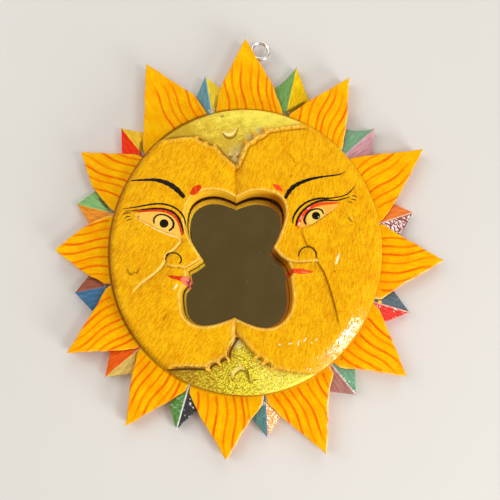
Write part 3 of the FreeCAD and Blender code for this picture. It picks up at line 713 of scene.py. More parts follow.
def moon_material(name, turn, cream, corner, red):
    """Ochre paint with the faces' red and cream, pink painted highlights on the lips, painted highlights on
    crests, painted shade in hollows, walls painted bright or brown as painted light and shade, glints painted
    on the lids, spots, scratches and painted glints, flecks and, on part of the rim, varnish."""
    material, tree = new_material(
        name, Specular_IOR_Level=0.12, Specular_Tint=(1.0, 0.72, 0.3, 1.0), Coat_Roughness=0.12, Coat_IOR=2.1,
    )
    brushed = use_group(tree, BRUSHED, Turn=turn)
    tone, height = brushed["Tone"], brushed["Height"]
    colour = mix(tone, paint(222, 142, 0), paint(252, 195, 17))
    # Painted light and shade on the opening's walls: bright yellow where lit, brown in shade, and black
    # in the painted shadow at their foot
    shade = attribute(tree, "shade")
    walls = paint(255, 216, 56)
    for low, high, darker in (
        (0.0, 0.25, paint(255, 178, 24)), (0.25, 0.5, paint(206, 122, 4)),
        (0.5, 1.0, paint(96, 48, 2)), (1.0, 1.4, paint(26, 18, 12)),
    ):
        walls = mix(shade.ramp(low, high), walls, darker)
    walls = mix(0.25 * tone, walls, paint(232, 160, 10))
    wall = attribute(tree, "wall")
    colour = mix(wall, colour, walls)
    ragged = height.ramp(0.34, 0.52)
    # Painted shade in the hollows, and painted highlights on the crests
    colour = mix(attribute(tree, "painted_shade") * (1.0 - 0.5 * ragged), colour, paint(128, 70, 0))
    colour = mix(attribute(tree, "crest") * (0.55 * ragged + 0.45), colour, paint(255, 234, 134))
    colour = flecked(colour, paint(130, 76, 4), 0.7, Spacing=5.0, Share=0.22, Size=0.06)
    # The eye whites yellow towards their corners
    corners = attribute(tree, "pupil").ramp(1.6, FAR, 0.0, 0.75)
    white = mix(corners.highest(0.3 * ragged), cream, corner)
    colour, _ = painted(colour, "cream", white, 0.25)
    colour, lids = painted(colour, "red", red, 0.12, 0.35)
    # Pale dabs on the red lids: painted glints
    dabs = noise(place(tree, 0.5), 2.0, 0.6)
    colour = mix(lids * dabs.ramp(0.52, 0.66, 0.0, 0.6), colour, paint(255, 140, 60))
    # Pink painted highlights on the lips
    colour, _ = painted(colour, "lip_highlight", paint(252, 134, 108), 0.3, 0.4)
    # Painted shade in the carved cuts
    colour, _ = painted(colour, "cut", paint(172, 92, 4), 0.12)
    colour, _ = painted(colour, "spot", paint(112, 62, 6), 0.3, 0.5, 0.65)
    colour, pupil = painted(colour, "pupil", paint(22, 18, 17), 0.06, 0.08)
    # Pale scratches and chips, and painted glints and highlights
    colour, _ = painted(colour, "scratch_and_glint", paint(255, 244, 206), 0.12, 0.3)
    dull = tone.ramp(0.0, 1.0, 0.5, 0.36) - 0.16 * lids.highest(pupil)
    # Streaky varnish
    wrinkles = noise(place(tree, (0.5, 1.9, 1.0), 0.6), 2.0, 0.6)
    varnish = attribute(tree, "varnish")
    patchy = varnish + 5.0 * (wrinkles - 0.5)
    return finish(
        material, colour, height, 0.4, wrinkles, 0.05, Roughness=dull.highest(wall),
        Coat_Weight=patchy.ramp(0.6, 1.3) * varnish.ramp(0.0, 0.25),
    )


def ink_material():
    """Black brush paint that thins to brown in places."""
    material, tree = new_material("black brush paint", Specular_IOR_Level=0.12)
    worn = noise(place(tree, 0.8), 3.0, 0.6)
    colour = mix(worn.ramp(0.52, 0.72, 0.0, 0.55), paint(20, 17, 17), paint(96, 60, 14))
    return finish(material, colour, worn, 0.03, Roughness=worn.ramp(0.3, 0.7, 0.32, 0.5))


def crumb_material():
    """Pale ochre paint worn at the crests of the small teeth, brown in their hollows."""
    material, tree = new_material("worn ochre paint", Specular_IOR_Level=0.3)
    worn = noise(place(tree, 0.7), 3.0, 0.6)
    colour = mix(worn.ramp(0.3, 0.62), paint(214, 132, 4), paint(255, 206, 56))
    return finish(material, colour, worn, 0.2, Roughness=worn.ramp(0.3, 0.7, 0.5, 0.3))


# Size of the flakes in the gold paint
FLAKE = 0.3


def gold_material(name, dark, light, contrast, metallic):
    """Gold paint full of flakes: cells of random shade that tilt the light, streaks across, and clouds; a
    painted sheen brightens it to one side, painted glints sparkle on the flakes, and the raised marks are
    ochre with painted highlights on their crests and painted shade at their feet and beside the moons."""
    material, tree = new_material(name, Metallic=metallic, Specular_IOR_Level=0.25)
    clouds = noise(place(tree, (5.0, 3.0, 5.0)), 4.0, 0.6)
    shade, _ = cells(place(tree, (1.3 * FLAKE, FLAKE, FLAKE)))
    streaks = noise(place(tree, (2.2, 0.4, 1.0), -0.5), 3.0, 0.6)
    tone = (1 - contrast) * clouds + contrast * shade + 0.8 * contrast * (streaks - 0.5)
    tone = tone + 0.3 * attribute(tree, "painted_sheen")
    colour = mix(tone.ramp(0.26, 0.78), dark, light)
    # Painted glints on the flakes, more of them to the right
    glints = (shade * attribute(tree, "painted_glints")).ramp(0.62, 0.8)
    colour = mix(0.6 * glints, colour, paint(255, 250, 160))
    colour = mix(attribute(tree, "silver"), colour, paint(206, 192, 138))
    # Painted shade beside the moons and under the marks
    colour = mix(attribute(tree, "painted_shade"), colour, paint(96, 62, 14))
    colour, _ = painted(colour, "mark", paint(246, 178, 22), 0.12, 0.2)
    # Painted highlights on the marks' crests
    colour = mix(attribute(tree, "crest"), colour, paint(255, 246, 176))
    colour = flecked(colour, paint(116, 90, 20), 0.6, Spacing=2.6, Share=0.12, Size=0.1)
    height = contrast * shade + clouds
    return finish(material, colour, height, 0.3 * FLAKE, Roughness=shade.ramp(0.0, 1.0, 0.34, 0.52))


def ray_material():
    """Yellow orange paint with brushed orange stripes, grain along the ray, pale painted highlights with a
    little wear on the top edges, darker flanks, and a painted shadow line at the rim's foot.
    """
    material, tree = new_material(
        "ray orange paint", Specular_IOR_Level=0.1, Specular_Tint=(1.0, 0.7, 0.15, 1.0),
    )
    grain = noise(attribute(tree, "ray_place", "Vector").stretch((0.12, 1.1, 0.4)), 4.0, 0.6)
    blotch = noise(place(tree, 5.0), 4.0, 0.6)
    fine = noise(place(tree, 0.6), 3.0, 0.6)
    tone = 0.35 * grain + 0.3 * blotch + 0.35 * fine
    light = tone.ramp(0.36, 0.64)
    colour = mix(light, paint(250, 156, 0), paint(255, 200, 6))
    dry = grain.ramp(0.3, 0.6, 0.5, 1.0) * attribute(tree, "strength")
    colour, _ = painted(colour, "stripe", paint(240, 98, 2), 0.25, 0.6, dry)
    flanks = mix(light, paint(204, 108, 2), paint(228, 136, 8))
    colour = mix(attribute(tree, "wall"), colour, flanks)
    # Pale painted highlights, with a little wear, on the top edges
    crest = attribute(tree, "crest") * blotch.ramp(0.38, 0.6, 0.1, 1.0)
    colour = mix(crest, colour, paint(255, 232, 168))
    # A painted shadow line at the rim's foot
    colour = mix(attribute(tree, "painted_shadow"), colour, paint(112, 60, 4))
    colour = flecked(colour, paint(120, 66, 4), 0.7, Spacing=6.0, Share=0.12, Size=0.07)
    return finish(material, colour, tone, 0.25, Roughness=tone.ramp(0.3, 0.7, 0.52, 0.38))


def facet_material(name, hues, ridge_line, gloss):
    """Two glossy colours that meet along the ridge, brushed unevenly over lumps, with a line of paint on the
    ridge, painted shade in the gaps along the edges and a painted shadow in the seam, and flecks of primer at
    the inner end."""
    material, tree = new_material(name, Specular_IOR_Level=0.04, Coat_Roughness=0.08, Coat_IOR=1.75)
    grain = noise(attribute(tree, "ray_place", "Vector").stretch((0.2, 1.2, 0.4)), 4.0, 0.65)
    lumps = noise(place(tree, 1.3), 3.0, 0.6)
    tone = grain.ramp(0.3, 0.7)
    shades = []
    for hue in hues:
        deep = (*(0.7 * c for c in hue[:3]), 1.0)
        pale = (*(min(1.12 * c + 0.01, 1) for c in hue[:3]), 1.0)
        shades.append(mix(tone, deep, pale))
    colour, half = painted(shades[1], "side", shades[0], 0.1, 0.5)
    if ridge_line:
        colour, _ = painted(colour, "ridge", ridge_line, 0.15, 0.5)
    colour, _ = painted(colour, "dab", paint(255, 214, 30), 0.1, 0.3)
    # Painted shade in the gaps along the edges, and a painted shadow in the seam
    colour = mix(0.85 * attribute(tree, "edge"), colour, paint(64, 38, 14))
    colour = mix(attribute(tree, "primer") * lumps.ramp(0.5, 0.58), colour, paint(232, 228, 214))
    wrinkles = noise(place(tree, 1.6), 1.0, 0.5)
    return finish(
        material, colour, lumps, 0.32, wrinkles, 0.2, Roughness=lumps.ramp(0.3, 0.7, 0.35, 0.5),
        Coat_Weight=half.ramp(0.0, 1.0, gloss[1], gloss[0]),
    )


def wood_material():
    """Bare pale wood: rings of a trunk cut along the grain, and pores; above the rays it is painted, brown on
    the left and ochre on the right, the brown being painted shade."""
    material, tree = new_material("bare pale wood", Roughness=0.7, Specular_IOR_Level=0.2)
    rings = noise(place(tree, (2.2, 60.0, 2.2)), 4.0, 0.6)
    pores = noise(place(tree, (0.25, 5.0, 0.25)), 2.0)
    colour = mix(rings.ramp(0.3, 0.7), paint(196, 158, 108), paint(226, 192, 142))
    colour = mix(pores.ramp(0.56, 0.72, 0.0, 0.5), colour, paint(128, 92, 56))
    across, height = (add_node(tree, "SeparateXYZ", {0: place(tree)}, axis) for axis in ("X", "Z"))
    # Painted shade: the rim is brown on the left and ochre on the right
    rim = mix(across.ramp(-10.0, 30.0), paint(164, 104, 12), paint(236, 164, 14))
    colour = mix(height.ramp(RAY_TOP - 0.3, RAY_TOP), colour, rim)
    return finish(material, colour, pores, 0.08)


def board_material():
    """Thin brown board: pressed fibres with soft clouds."""
    material, tree = new_material("brown fibre board", Roughness=0.8)
    fibres = noise(place(tree, (0.3, 1.2, 0.3)), 4.0, 0.65)
    clouds = noise(place(tree, 9.0), 3.0)
    colour = mix(fibres.ramp(0.3, 0.7), paint(122, 84, 50), paint(158, 116, 74))
    colour = mix(clouds.ramp(0.4, 0.7, 0.0, 0.4), colour, paint(104, 70, 42))
    return finish(material, colour, fibres, 0.06)


def silver_material():
    """Silvered back of the mirror, with faint tarnish and dust in its roughness."""
    material, tree = new_material("mirror silver", Metallic=1.0)
    clouds = noise(place(tree, 14.0), 4.0, 0.6)
    colour = mix(clouds.ramp(0.3, 0.7), paint(226, 222, 212), paint(238, 234, 226))
    colour = flecked(colour, paint(90, 84, 74), 0.6, Spacing=5.0, Share=0.08, Size=0.06)
    return finish(material, colour, Roughness=clouds.ramp(0.4, 0.75, 0.02, 0.06))


def glass_material():
    """Clear glass with a breath of dust and a few scratches that scatter."""
    material, tree = new_material("mirror glass", Transmission_Weight=1.0, IOR=1.5)
    scratches = noise(place(tree, (0.25, 7.0, 1.0)), 2.0, 0.5)
    dust = use_group(tree, FLECKS, Spacing=6.0, Share=0.14, Size=0.05)["Mask"]
    colour = mix(dust, paint(250, 252, 250), paint(236, 232, 222))
    return finish(material, colour, Roughness=scratches.ramp(0.72, 0.8, 0.0, 0.12) + 0.5 * dust)


def steel_material():
    """Bright plated steel with fine drawn lines and a few dull spots."""
    material, tree = new_material("bright steel", Metallic=1.0)
    lines = noise(place(tree, (0.12, 0.12, 1.4)), 3.0)
    dull = noise(place(tree, 1.6), 3.0)
    colour = mix(dull.ramp(0.4, 0.7), paint(236, 234, 228), paint(200, 196, 188))
    return finish(material, colour, lines, 0.02, Roughness=dull.ramp(0.35, 0.7, 0.16, 0.36))


# The two moons

# The plate under the carving; the bevel of its rim, with how much wider and flatter it is where it is widest;
# how far the plate falls to the rim; and the rounding of its edges
PLATE = 17.6
BEVEL_WIDTH = 1.5
BEVEL_GROWTH = 6.5
BEVEL_SLOPE = 0.45
BEVEL_FLATTENING = 0.3
BEVEL_BEARING = 130.0
VARNISH_BEARING = 137.0
RIM_FALL = 0.8
RIM_ROUND = 1.1
OPENING_ROUND = 0.9
FIELD_ROUND = 1.5
# The valley along the seam: half width and painted shade on each side, and depth above and below the opening
SEAM_WIDTH = {"left": 4.5, "right": 7.0}
SEAM_SHADE = {"left": 0.2, "right": 0.5}
VALLEY_TOP = 2.2
VALLEY_BOTTOM = 1.6
# Steps and rises of the carving; the cheek's foot is where its brown painted shadow begins
CHEEK_STEP = {"left": 0.7, "right": 0.28}
CHEEK_FOOT = {"left": -0.4, "right": 0.1}
NOSE_STEP = 0.6
EYEBALL_RISE = 0.4
WING_RISE = 0.6
LIP_RISE = 0.4
LID_RISE = 0.2
CUT_DEPTH = 0.1
# Rows of a moon's grid along the top gold field, the rim and the bottom gold field, and its columns down the
# opening's wall, over the face and down the outer wall
MOON_ROWS = (112, 260, 106)
INNER_COLUMNS = 10
FACE_COLUMNS = 170
OUTER_COLUMNS = 8
# Height of the ink over the paint, and half of the hair's gap along the seam
INK_LIFT = 0.09
HAIR = 0.02


def dense_profile(side):
    """The opening's edge along one face as a fine polyline, with its sharp corners."""
    parts = PROFILES[side]
    brow = smooth_line(parts["brow"], 400)
    nose = smooth_line(parts["nose"], 80)
    chin = smooth_line(parts["chin"], 400)
    line = np.concatenate([brow, nose[1:], parts["mouth"][1:], chin[1:]])
    return line, [parts["nose"][0]] + parts["mouth"]


def dense_field_edge(field, side):
    """A moon's edge along a gold field as a fine polyline up to the rim: two arcs with two scallops between
    them, and the corners of the scallops."""
    point, bend, near, mid, far, sweep, corner = (np.array(p) for p in FIELD_EDGES[field, side])
    centre = np.array([0.0, RIM_HALF_HEIGHT if field == "top" else -RIM_HALF_HEIGHT])
    runs = [circle_arc(point, bend, near, 90)]
    for start, end in ((near, mid), (mid, far)):
        middle = (start + end) / 2
        outward = unit(np.array([end[1] - start[1], start[0] - end[0]]))
        if outward @ (middle - centre) < 0:
            outward = -outward
        runs.append(circle_arc(start, middle + SCALLOP_DEPTH * outward, end, 40)[1:])
    runs.append(circle_arc(far, sweep, corner, 400)[1:])
    line = np.concatenate(runs)
    outside = rim_gap(*line.T) <= 0
    return line[:np.argmax(outside)] if outside.any() else line, [near, mid, far]


def moon_outline(side):
    """Edges of a moon in plan: the opening's edge, the outer edge with as many points, and which of them are
    on the rim. The outer edge is a gold field's edge at the top and at the bottom, and the rim between."""
    profile, corners = dense_profile(side)
    brow, chin = (np.argmin(np.hypot(*(profile - PROFILES[side][part][3]).T)) for part in ("brow", "chin"))
    top_rows, rim_rows, bottom_rows = MOON_ROWS
    inner = np.concatenate([
        spaced(profile[:brow + 1], top_rows + 1)[:-1],
        spaced(profile[brow:chin + 1], rim_rows + 1, corners)[:-1],
        spaced(profile[chin:], bottom_rows),
    ])
    top, top_teeth = dense_field_edge("top", side)
    bottom, bottom_teeth = dense_field_edge("bottom", side)
    first, last = (math.degrees(math.atan2(*edge[-1])) for edge in (top, bottom))
    outer = np.concatenate([
        spaced(top, top_rows + 1, top_teeth)[:-1],
        rim_top(np.linspace(first, last, rim_rows + 1))[:-1],
        spaced(bottom[::-1], bottom_rows, bottom_teeth),
    ])
    # Both ends lie on the seam
    for edge in (inner, outer):
        edge[[0, -1], 0] = SEAM
    return inner, outer, np.repeat([False, True, False], MOON_ROWS)


def carving(side, x, y):
    """Height of a carved face over the plan, with masks of its painted shade, its painted highlights and
    varnish. A plate with a bevelled rim and rounded edges; a valley along the seam; the cheek a step above
    eye, nose and mouth;
    the nose a step above the lips; eyeball, nose wing, lids and lips raised; small crumbs along the gold
    fields;
    knife marks."""
    left = side == "left"
    to_rim = np.maximum(rim_gap(x, y), 0)
    profile, corners = dense_profile(side)
    to_opening = line_gap(x, y, spaced(profile, 220, corners))
    bearing = np.degrees(np.arctan2(x, y)) % 360
    facing = bump(bearing - BEVEL_BEARING, 30)
    bevel = BEVEL_WIDTH + BEVEL_GROWTH * facing + 0.25 * np.sin(x / 7 + y / 5) - to_rim
    slope = BEVEL_SLOPE - BEVEL_FLATTENING * facing
    z = PLATE - slope * 0.5 * (bevel + np.sqrt(bevel**2 + 0.09)) - RIM_FALL * soft_step(12, 0, to_rim)
    z -= rounding(to_rim, RIM_ROUND) + rounding(to_opening, OPENING_ROUND)
    varnish = soft_step(24, 8, np.abs(bearing - VARNISH_BEARING))
    varnish *= soft_step(7.8, 4.6, to_rim) * soft_step(0.2, 1.0, to_rim)
    # Painted shade along the left moon's rim
    painted_shade = 0.55 * left * soft_step(3.4, 0.2, to_rim)
    # Painted highlights along the opening's edge and on the varnished bevel
    crest = np.maximum(0.75 * bump(to_opening - 0.6, 0.4), 0.3 * varnish * soft_step(3.2, 1.6, to_rim))
    inland = soft_step(1.0, 4.0, to_rim)
    for field in FIELDS:
        line, teeth = dense_field_edge(field, side)
        gap = line_gap(x, y, spaced(line, 130, teeth))
        crumbs = np.max([bump(np.hypot(x - a, y - b), 1.0) for a, b in teeth], 0)
        ragged = soft_step(0.1, 0.7, ripple(x, y, 1.7, 3.1)) * bump(gap - 0.9, 0.7)
        lip, groove, foot = LIPS[field, side]
        lip = lip * np.clip(0.65 + 0.9 * ripple(x, y, 2.0, 1.3), 0.1, 1)
        z += inland * (0.4 * crumbs + 0.2 * ragged + 0.75 * lip * bump(gap - 1.3, 0.9))
        z -= inland * (rounding(gap, FIELD_ROUND) + 0.35 * groove * bump(gap - 3.0, 0.8))
        # Painted highlights on the lips and crumbs, painted shade in the grooves and at the feet
        crest = np.maximum(crest, inland * np.maximum(0.9 * crumbs, lip * bump(gap - 1.2, 0.8)))
        brown = np.maximum(foot * soft_step(1.15, 0.75, gap) * (1 - crumbs), groove * bump(gap - 2.8, 0.45))
        painted_shade = np.maximum(painted_shade, inland * brown)
    # Valley between the moons with painted shade in it, darker on the right moon, and a painted highlight on
    # the left one's ridge beside it below the opening
    valley = np.clip(1 - np.abs(x - SEAM) / SEAM_WIDTH[side], 0, 1) ** 1.7
    z -= valley * (VALLEY_TOP * soft_step(17, 26, y) + VALLEY_BOTTOM * soft_step(-29, -34, y))
    painted_shade = np.maximum(painted_shade, SEAM_SHADE[side] * valley**3 * soft_step(20, 26, np.abs(y)))
    ridge = left * bump(x - SEAM + 1.2, 0.8) * soft_step(-33, -36, y)
    z += 0.35 * ridge
    crest = np.maximum(crest, 0.8 * ridge)
    # The cheek's step fades back over the cheek, and its foot is a groove that is wider beside nose and
    # mouth;
    # a painted shadow lies below the step, and on the left face a painted highlight on it
    gap, turn, _, along = near_line(x, y, smooth_line(CHEEK_EDGES[side], 90))
    above = gap * turn * (-1 if left else 1)
    taper = soft_step(0, 0.12, along) * soft_step(1, 0.9, along)
    beside = soft_step(0.34, 0.42, along)
    z += taper * CHEEK_STEP[side] * soft_step(-0.3, 0.25, above) * np.exp(-np.maximum(above, 0) / 7)
    groove = 0.25 * np.exp(-np.abs(above) / 0.9) + 0.45 * beside * np.exp(-np.abs(above) / 3.5)
    z -= taper * (above < 0) * groove
    under = above - CHEEK_FOOT[side]
    painted_shadow = 0.4 * np.exp(-np.abs(under) / 0.5) + 0.25 * beside * np.exp(-np.abs(under) / 3)
    painted_shade = np.maximum(painted_shade, taper * (under < 0) * painted_shadow)
    crest = np.maximum(crest, left * taper * bump(above, 0.45))
    gap, turn, _, along = near_line(x, y, smooth_line(NOSE_BASES[side], 50))
    below = gap * turn * (1 if left else -1)
    taper = soft_step(1, 0.9, along) * soft_step(6, 3, gap)
    z -= taper * NOSE_STEP * soft_step(-0.25, 0.25, below) * np.exp(-np.maximum(below, 0) / 4)
    # Painted shadow under the nose's lower edge, and a painted highlight on that edge
    painted_shade = np.maximum(painted_shade, taper * 0.55 * bump(below - 0.4, 0.5))
    crest = np.maximum(crest, taper * 0.7 * bump(below + 0.3, 0.35))
    eye_x, eye_y, half_length, half_width, tilt = EYEBALLS[side]
    cos, sin = math.cos(math.radians(tilt)), math.sin(math.radians(tilt))
    length = ((x - eye_x) * cos + (y - eye_y) * sin) / half_length
    width = ((y - eye_y) * cos - (x - eye_x) * sin) / half_width
    wing_x, wing_y, radius = WINGS[side]
    z += EYEBALL_RISE * dome(np.hypot(length, width))
    z += WING_RISE * dome(np.hypot(x - wing_x, y - wing_y) / radius)
    z += LIP_RISE * soft_step(0.5, -0.7, stroke_gap(x, y, [RED[side]["lips"]]))
    z += LID_RISE * soft_step(0.5, -0.4, stroke_gap(x, y, [RED[side]["lid"]]))
    z += (0.1 * ripple(x, y, 9.0, 0.6) + 0.035 * ripple(x, y, 3.6, 1.9)) * (1 - 0.8 * varnish)
    z -= CUT_DEPTH * soft_step(0.25, -0.05, stroke_gap(x, y, CUTS[side]))
    masks = {"painted_shade": np.clip(painted_shade, 0, 1), "crest": np.clip(crest, 0, 1), "varnish": varnish}
    return np.minimum(z, MOON_TOP - 0.03), masks


def opening_shade(side, inner):
    """Painted light and shade of the opening's walls, row by row: the left face's are bright, and the right
    one's brown, darkest under the nose and bright beside the cusp. Also the shade of a black painted shadow
    line, for each column at the foot."""
    over, height = inner[:, :1], inner[:, 1:]
    # A black painted shadow line at the foot of the walls
    if side == "left":
        shade = 0.1 * bump(height + 9, 2.5) + 0.12 * soft_step(17, 23, height)
        black = soft_step(2, 10, height) + 0.6 * soft_step(-12, -16, height)
        return shade, (1.5 * black, black)
    shade = 0.55 + 0.35 * bump(height + 4.5, 3) - 0.4 * soft_step(12, 18, height) * soft_step(18, 5, over)
    black = soft_step(6, 14, height)
    return shade, (1.5 * black, 1.4 * black, 1.3 * black * soft_step(8, 18, over))


def moon_piece(side):
    """A moon as a closed section carried from its top seam to its bottom one: inner wall down to the glass,
    carved face on straight lines from the opening to the outer edge, and outer wall to the rays or into the
    gold field."""
    inner, outer, at_rim = moon_outline(side)
    share = np.linspace(0, 1, FACE_COLUMNS)
    share = 0.75 * share + 0.25 * (0.5 - 0.5 * np.cos(np.pi * share))
    plan = between(inner, outer, share)
    x, y = plan[..., 0], plan[..., 1]
    z, masks = carving(side, x, y)
    strokes = {"pupil": PUPILS, "lip_highlight": LIP_HIGHLIGHTS, "cut": CUTS, "spot": SPOTS, "scratch_and_glint": SCRATCHES_AND_GLINTS}
    gaps = {label: stroke_gap(x, y, lines[side]) for label, lines in strokes.items()}
    gaps["red"] = stroke_gap(x, y, RED[side].values())
    gaps["cream"] = patch_gap(x, y, EYE_FIELDS[side])
    steps_in = np.linspace(0, 1, INNER_COLUMNS + 1)[:-1]
    steps_out = np.linspace(0, 1, OUTER_COLUMNS + 1)[1:]
    foot_in = GLASS_TOP + 0.05
    foot_out = np.where(at_rim, RAY_TOP + 0.15, DISC_TOP + 0.2)[:, None]
    ruling = unit(outer - inner)
    wall_in = np.repeat((inner - ruling * SKIN)[:, None], INNER_COLUMNS, 1)
    rim_foot = polar(np.degrees(np.arctan2(*outer.T))) + ruling * SKIN
    wall_out = between(outer, np.where(at_rim[:, None], rim_foot, outer), steps_out)
    flat = np.concatenate([wall_in, plan, wall_out], 1)
    # A hair's gap along the seam
    if side == "left":
        flat[..., 0] = np.minimum(flat[..., 0], SEAM - HAIR)
    else:
        flat[..., 0] = np.maximum(flat[..., 0], SEAM + HAIR)
    inner_z = foot_in + (z[:, :1] - foot_in) * steps_in
    outer_z = z[:, -1:] + (foot_out - z[:, -1:]) * steps_out
    heights = np.concatenate([inner_z, z, outer_z], 1)
    # On the walls the lips' red and painted highlights run on, painted shade gathers at the outer foot, and
    # nothing else shows
    walls = ((0, 0), (INNER_COLUMNS, OUTER_COLUMNS))
    values = {label: np.pad(field, walls) for label, field in masks.items()}
    values["painted_shade"][:, -OUTER_COLUMNS:] = 0.8 * steps_out
    values.update({label: np.pad(gap, walls, constant_values=FAR) for label, gap in gaps.items()})
    for label in ("red", "lip_highlight"):
        values[label][:, :INNER_COLUMNS] = np.where(inner[:, 1:] < 0, gaps[label][:, :1], FAR)
    values["wall"] = np.pad(0 * z, walls, constant_values=((0, 0), (1, 0)))
    # Painted light and shade on the walls, and the painted shadow line on the columns at their foot
    shade, lines = opening_shade(side, inner)
    values["shade"] = np.repeat(shade, heights.shape[1], 1)
    for column, line in enumerate(lines):
        values["shade"][:, column] = np.maximum(shade, line)[:, 0]
    add_tubes(side + "_moon_carving", [np.dstack([flat, heights])], MOON_PAINTS[side],
              [side + "_moon"], values, side == "right")


def edge_teeth(side):
    """Small carved teeth on a moon's edges: each a lumpy egg that leans out over the gold, as rings along its
    length whose radius follows a half circle."""
    tilt = np.linspace(0.06, math.pi - 0.06, 14)[:, None]
    around = np.linspace(0, 2 * math.pi, 18, endpoint=False)[None]
    teeth = []
    for number, middle in enumerate(np.array(TEETH[side])):
        out = unit(np.array([-3.5, math.copysign(62.0, middle[1])]) - middle)
        across = np.array([out[1], -out[0]])
        lump = 1 + 0.16 * np.sin(2 * around + 1.7 * number + 2 * tilt) + 0.1 * np.sin(3 * around + number)
        along = -np.cos(tilt) * (1.4 + 0.25 * math.sin(2.3 * number)) + 0 * around
        wide = 0.7 * np.sin(tilt) * lump * np.cos(around)
        tall = 0.85 * np.sin(tilt) * lump * np.sin(around)
        base = carving(side, middle[:1], middle[1:])[0][0]
        plan = middle + along[..., None] * out + wide[..., None] * across
        teeth.append(np.dstack([plan, min(base, PLATE - 1.2) + 0.1 + tall - 0.35 * along]))
    add_tubes(side + "_moon_teeth", teeth, CRUMB_PAINT, flip=True)


def face_ink(side):
    """Brush strokes as thin lenses of paint: across each line the paint stands proud in the middle and dips
    under the surface at its edges, and its width wavers a little along the line."""
    spread = np.array([-1.0, -0.9, 0.0, 0.9, 1.0, 0.0])
    proud = INK_LIFT * np.array([-0.6, 0.8, 1.0, 0.8, -0.6, -2.5])
    strokes = []
    for number, points in enumerate(INK[side].values()):
        line = smooth_line(points, 16 * len(points))
        way = unit(np.gradient(line[:, :2], axis=0))
        across = np.stack([-way[:, 1], way[:, 0]], -1)
        step = np.arange(len(line))
        half = line[:, 2] * (1.15 + 0.1 * np.sin(0.5 * step + number) + 0.06 * np.sin(1.3 * step))
        plan = line[:, None, :2] + (half[:, None] * spread)[..., None] * across[:, None]
        strokes.append(np.dstack([plan, carving(side, plan[..., 0], plan[..., 1])[0] + proud]))
    add_tubes(side + "_face_ink", strokes, INK_PAINT, flip=True)


CRUMB_PAINT = crumb_material()
INK_PAINT = ink_material()
MOON_PAINTS = {
    "left": moon_material(
        "left moon ochre paint", 0.55, paint(253, 206, 98), paint(250, 188, 72), paint(214, 48, 6)),
    "right": moon_material(
        "right moon ochre paint", 0.2, paint(250, 208, 100), paint(246, 164, 52), paint(244, 70, 24)),
}
for face in SIDES:
    moon_piece(face)
    edge_teeth(face)
    face_ink(face)


# The gold fields above and below the moons

# The raised marks in each field, little moons and crumbs, as strokes of (x, y, half width), and the silvery
# patches as (x, y, radius)
MARKS = {
    "top": [[(-10.6, 53.9, 0.2), (-9.5, 52.8, 0.6), (-8.0, 52.1, 0.8), (-6.3, 52.5, 0.65), (-4.9, 54.2, 0.45),
             (-4.0, 56.4, 0.12)],
            [(-7.2, 42.6, 0.5), (-7.0, 43.2, 0.4)], [(-4.0, 42.6, 0.3), (-3.7, 43.1, 0.3)],
            [(-11.6, 62.2, 0.15), (-10.8, 62.5, 0.2)]],
    "bottom": [[(-6.2, -58.2, 0.15), (-6.0, -56.6, 0.35), (-5.2, -55.3, 0.45), (-4.0, -54.3, 0.45),
                (-2.6, -53.9, 0.4), (-1.0, -54.1, 0.4), (0.1, -55.2, 0.35), (0.7, -57.0, 0.3),
                (1.0, -58.8, 0.15)],
               [(-2.9, -52.9, 0.45), (-2.8, -52.0, 0.4)]],
}
SILVERY = {
    "top": [(-3.6, 42.5, 4.0), (2.2, 51.0, 2.0), (6.5, 54.6, 1.8)],
    "bottom": [(-3.9, -43.0, 2.5)],
}
GOLD_RISE = 1.9
GOLD_ROUND = 1.7
MARK_RISE = 0.9
# Rows of a gold field's grid along the rim, and its columns over the field and down the rim's side
GOLD_ROWS = 300
GOLD_COLUMNS = 110
SIDE_COLUMNS = 7


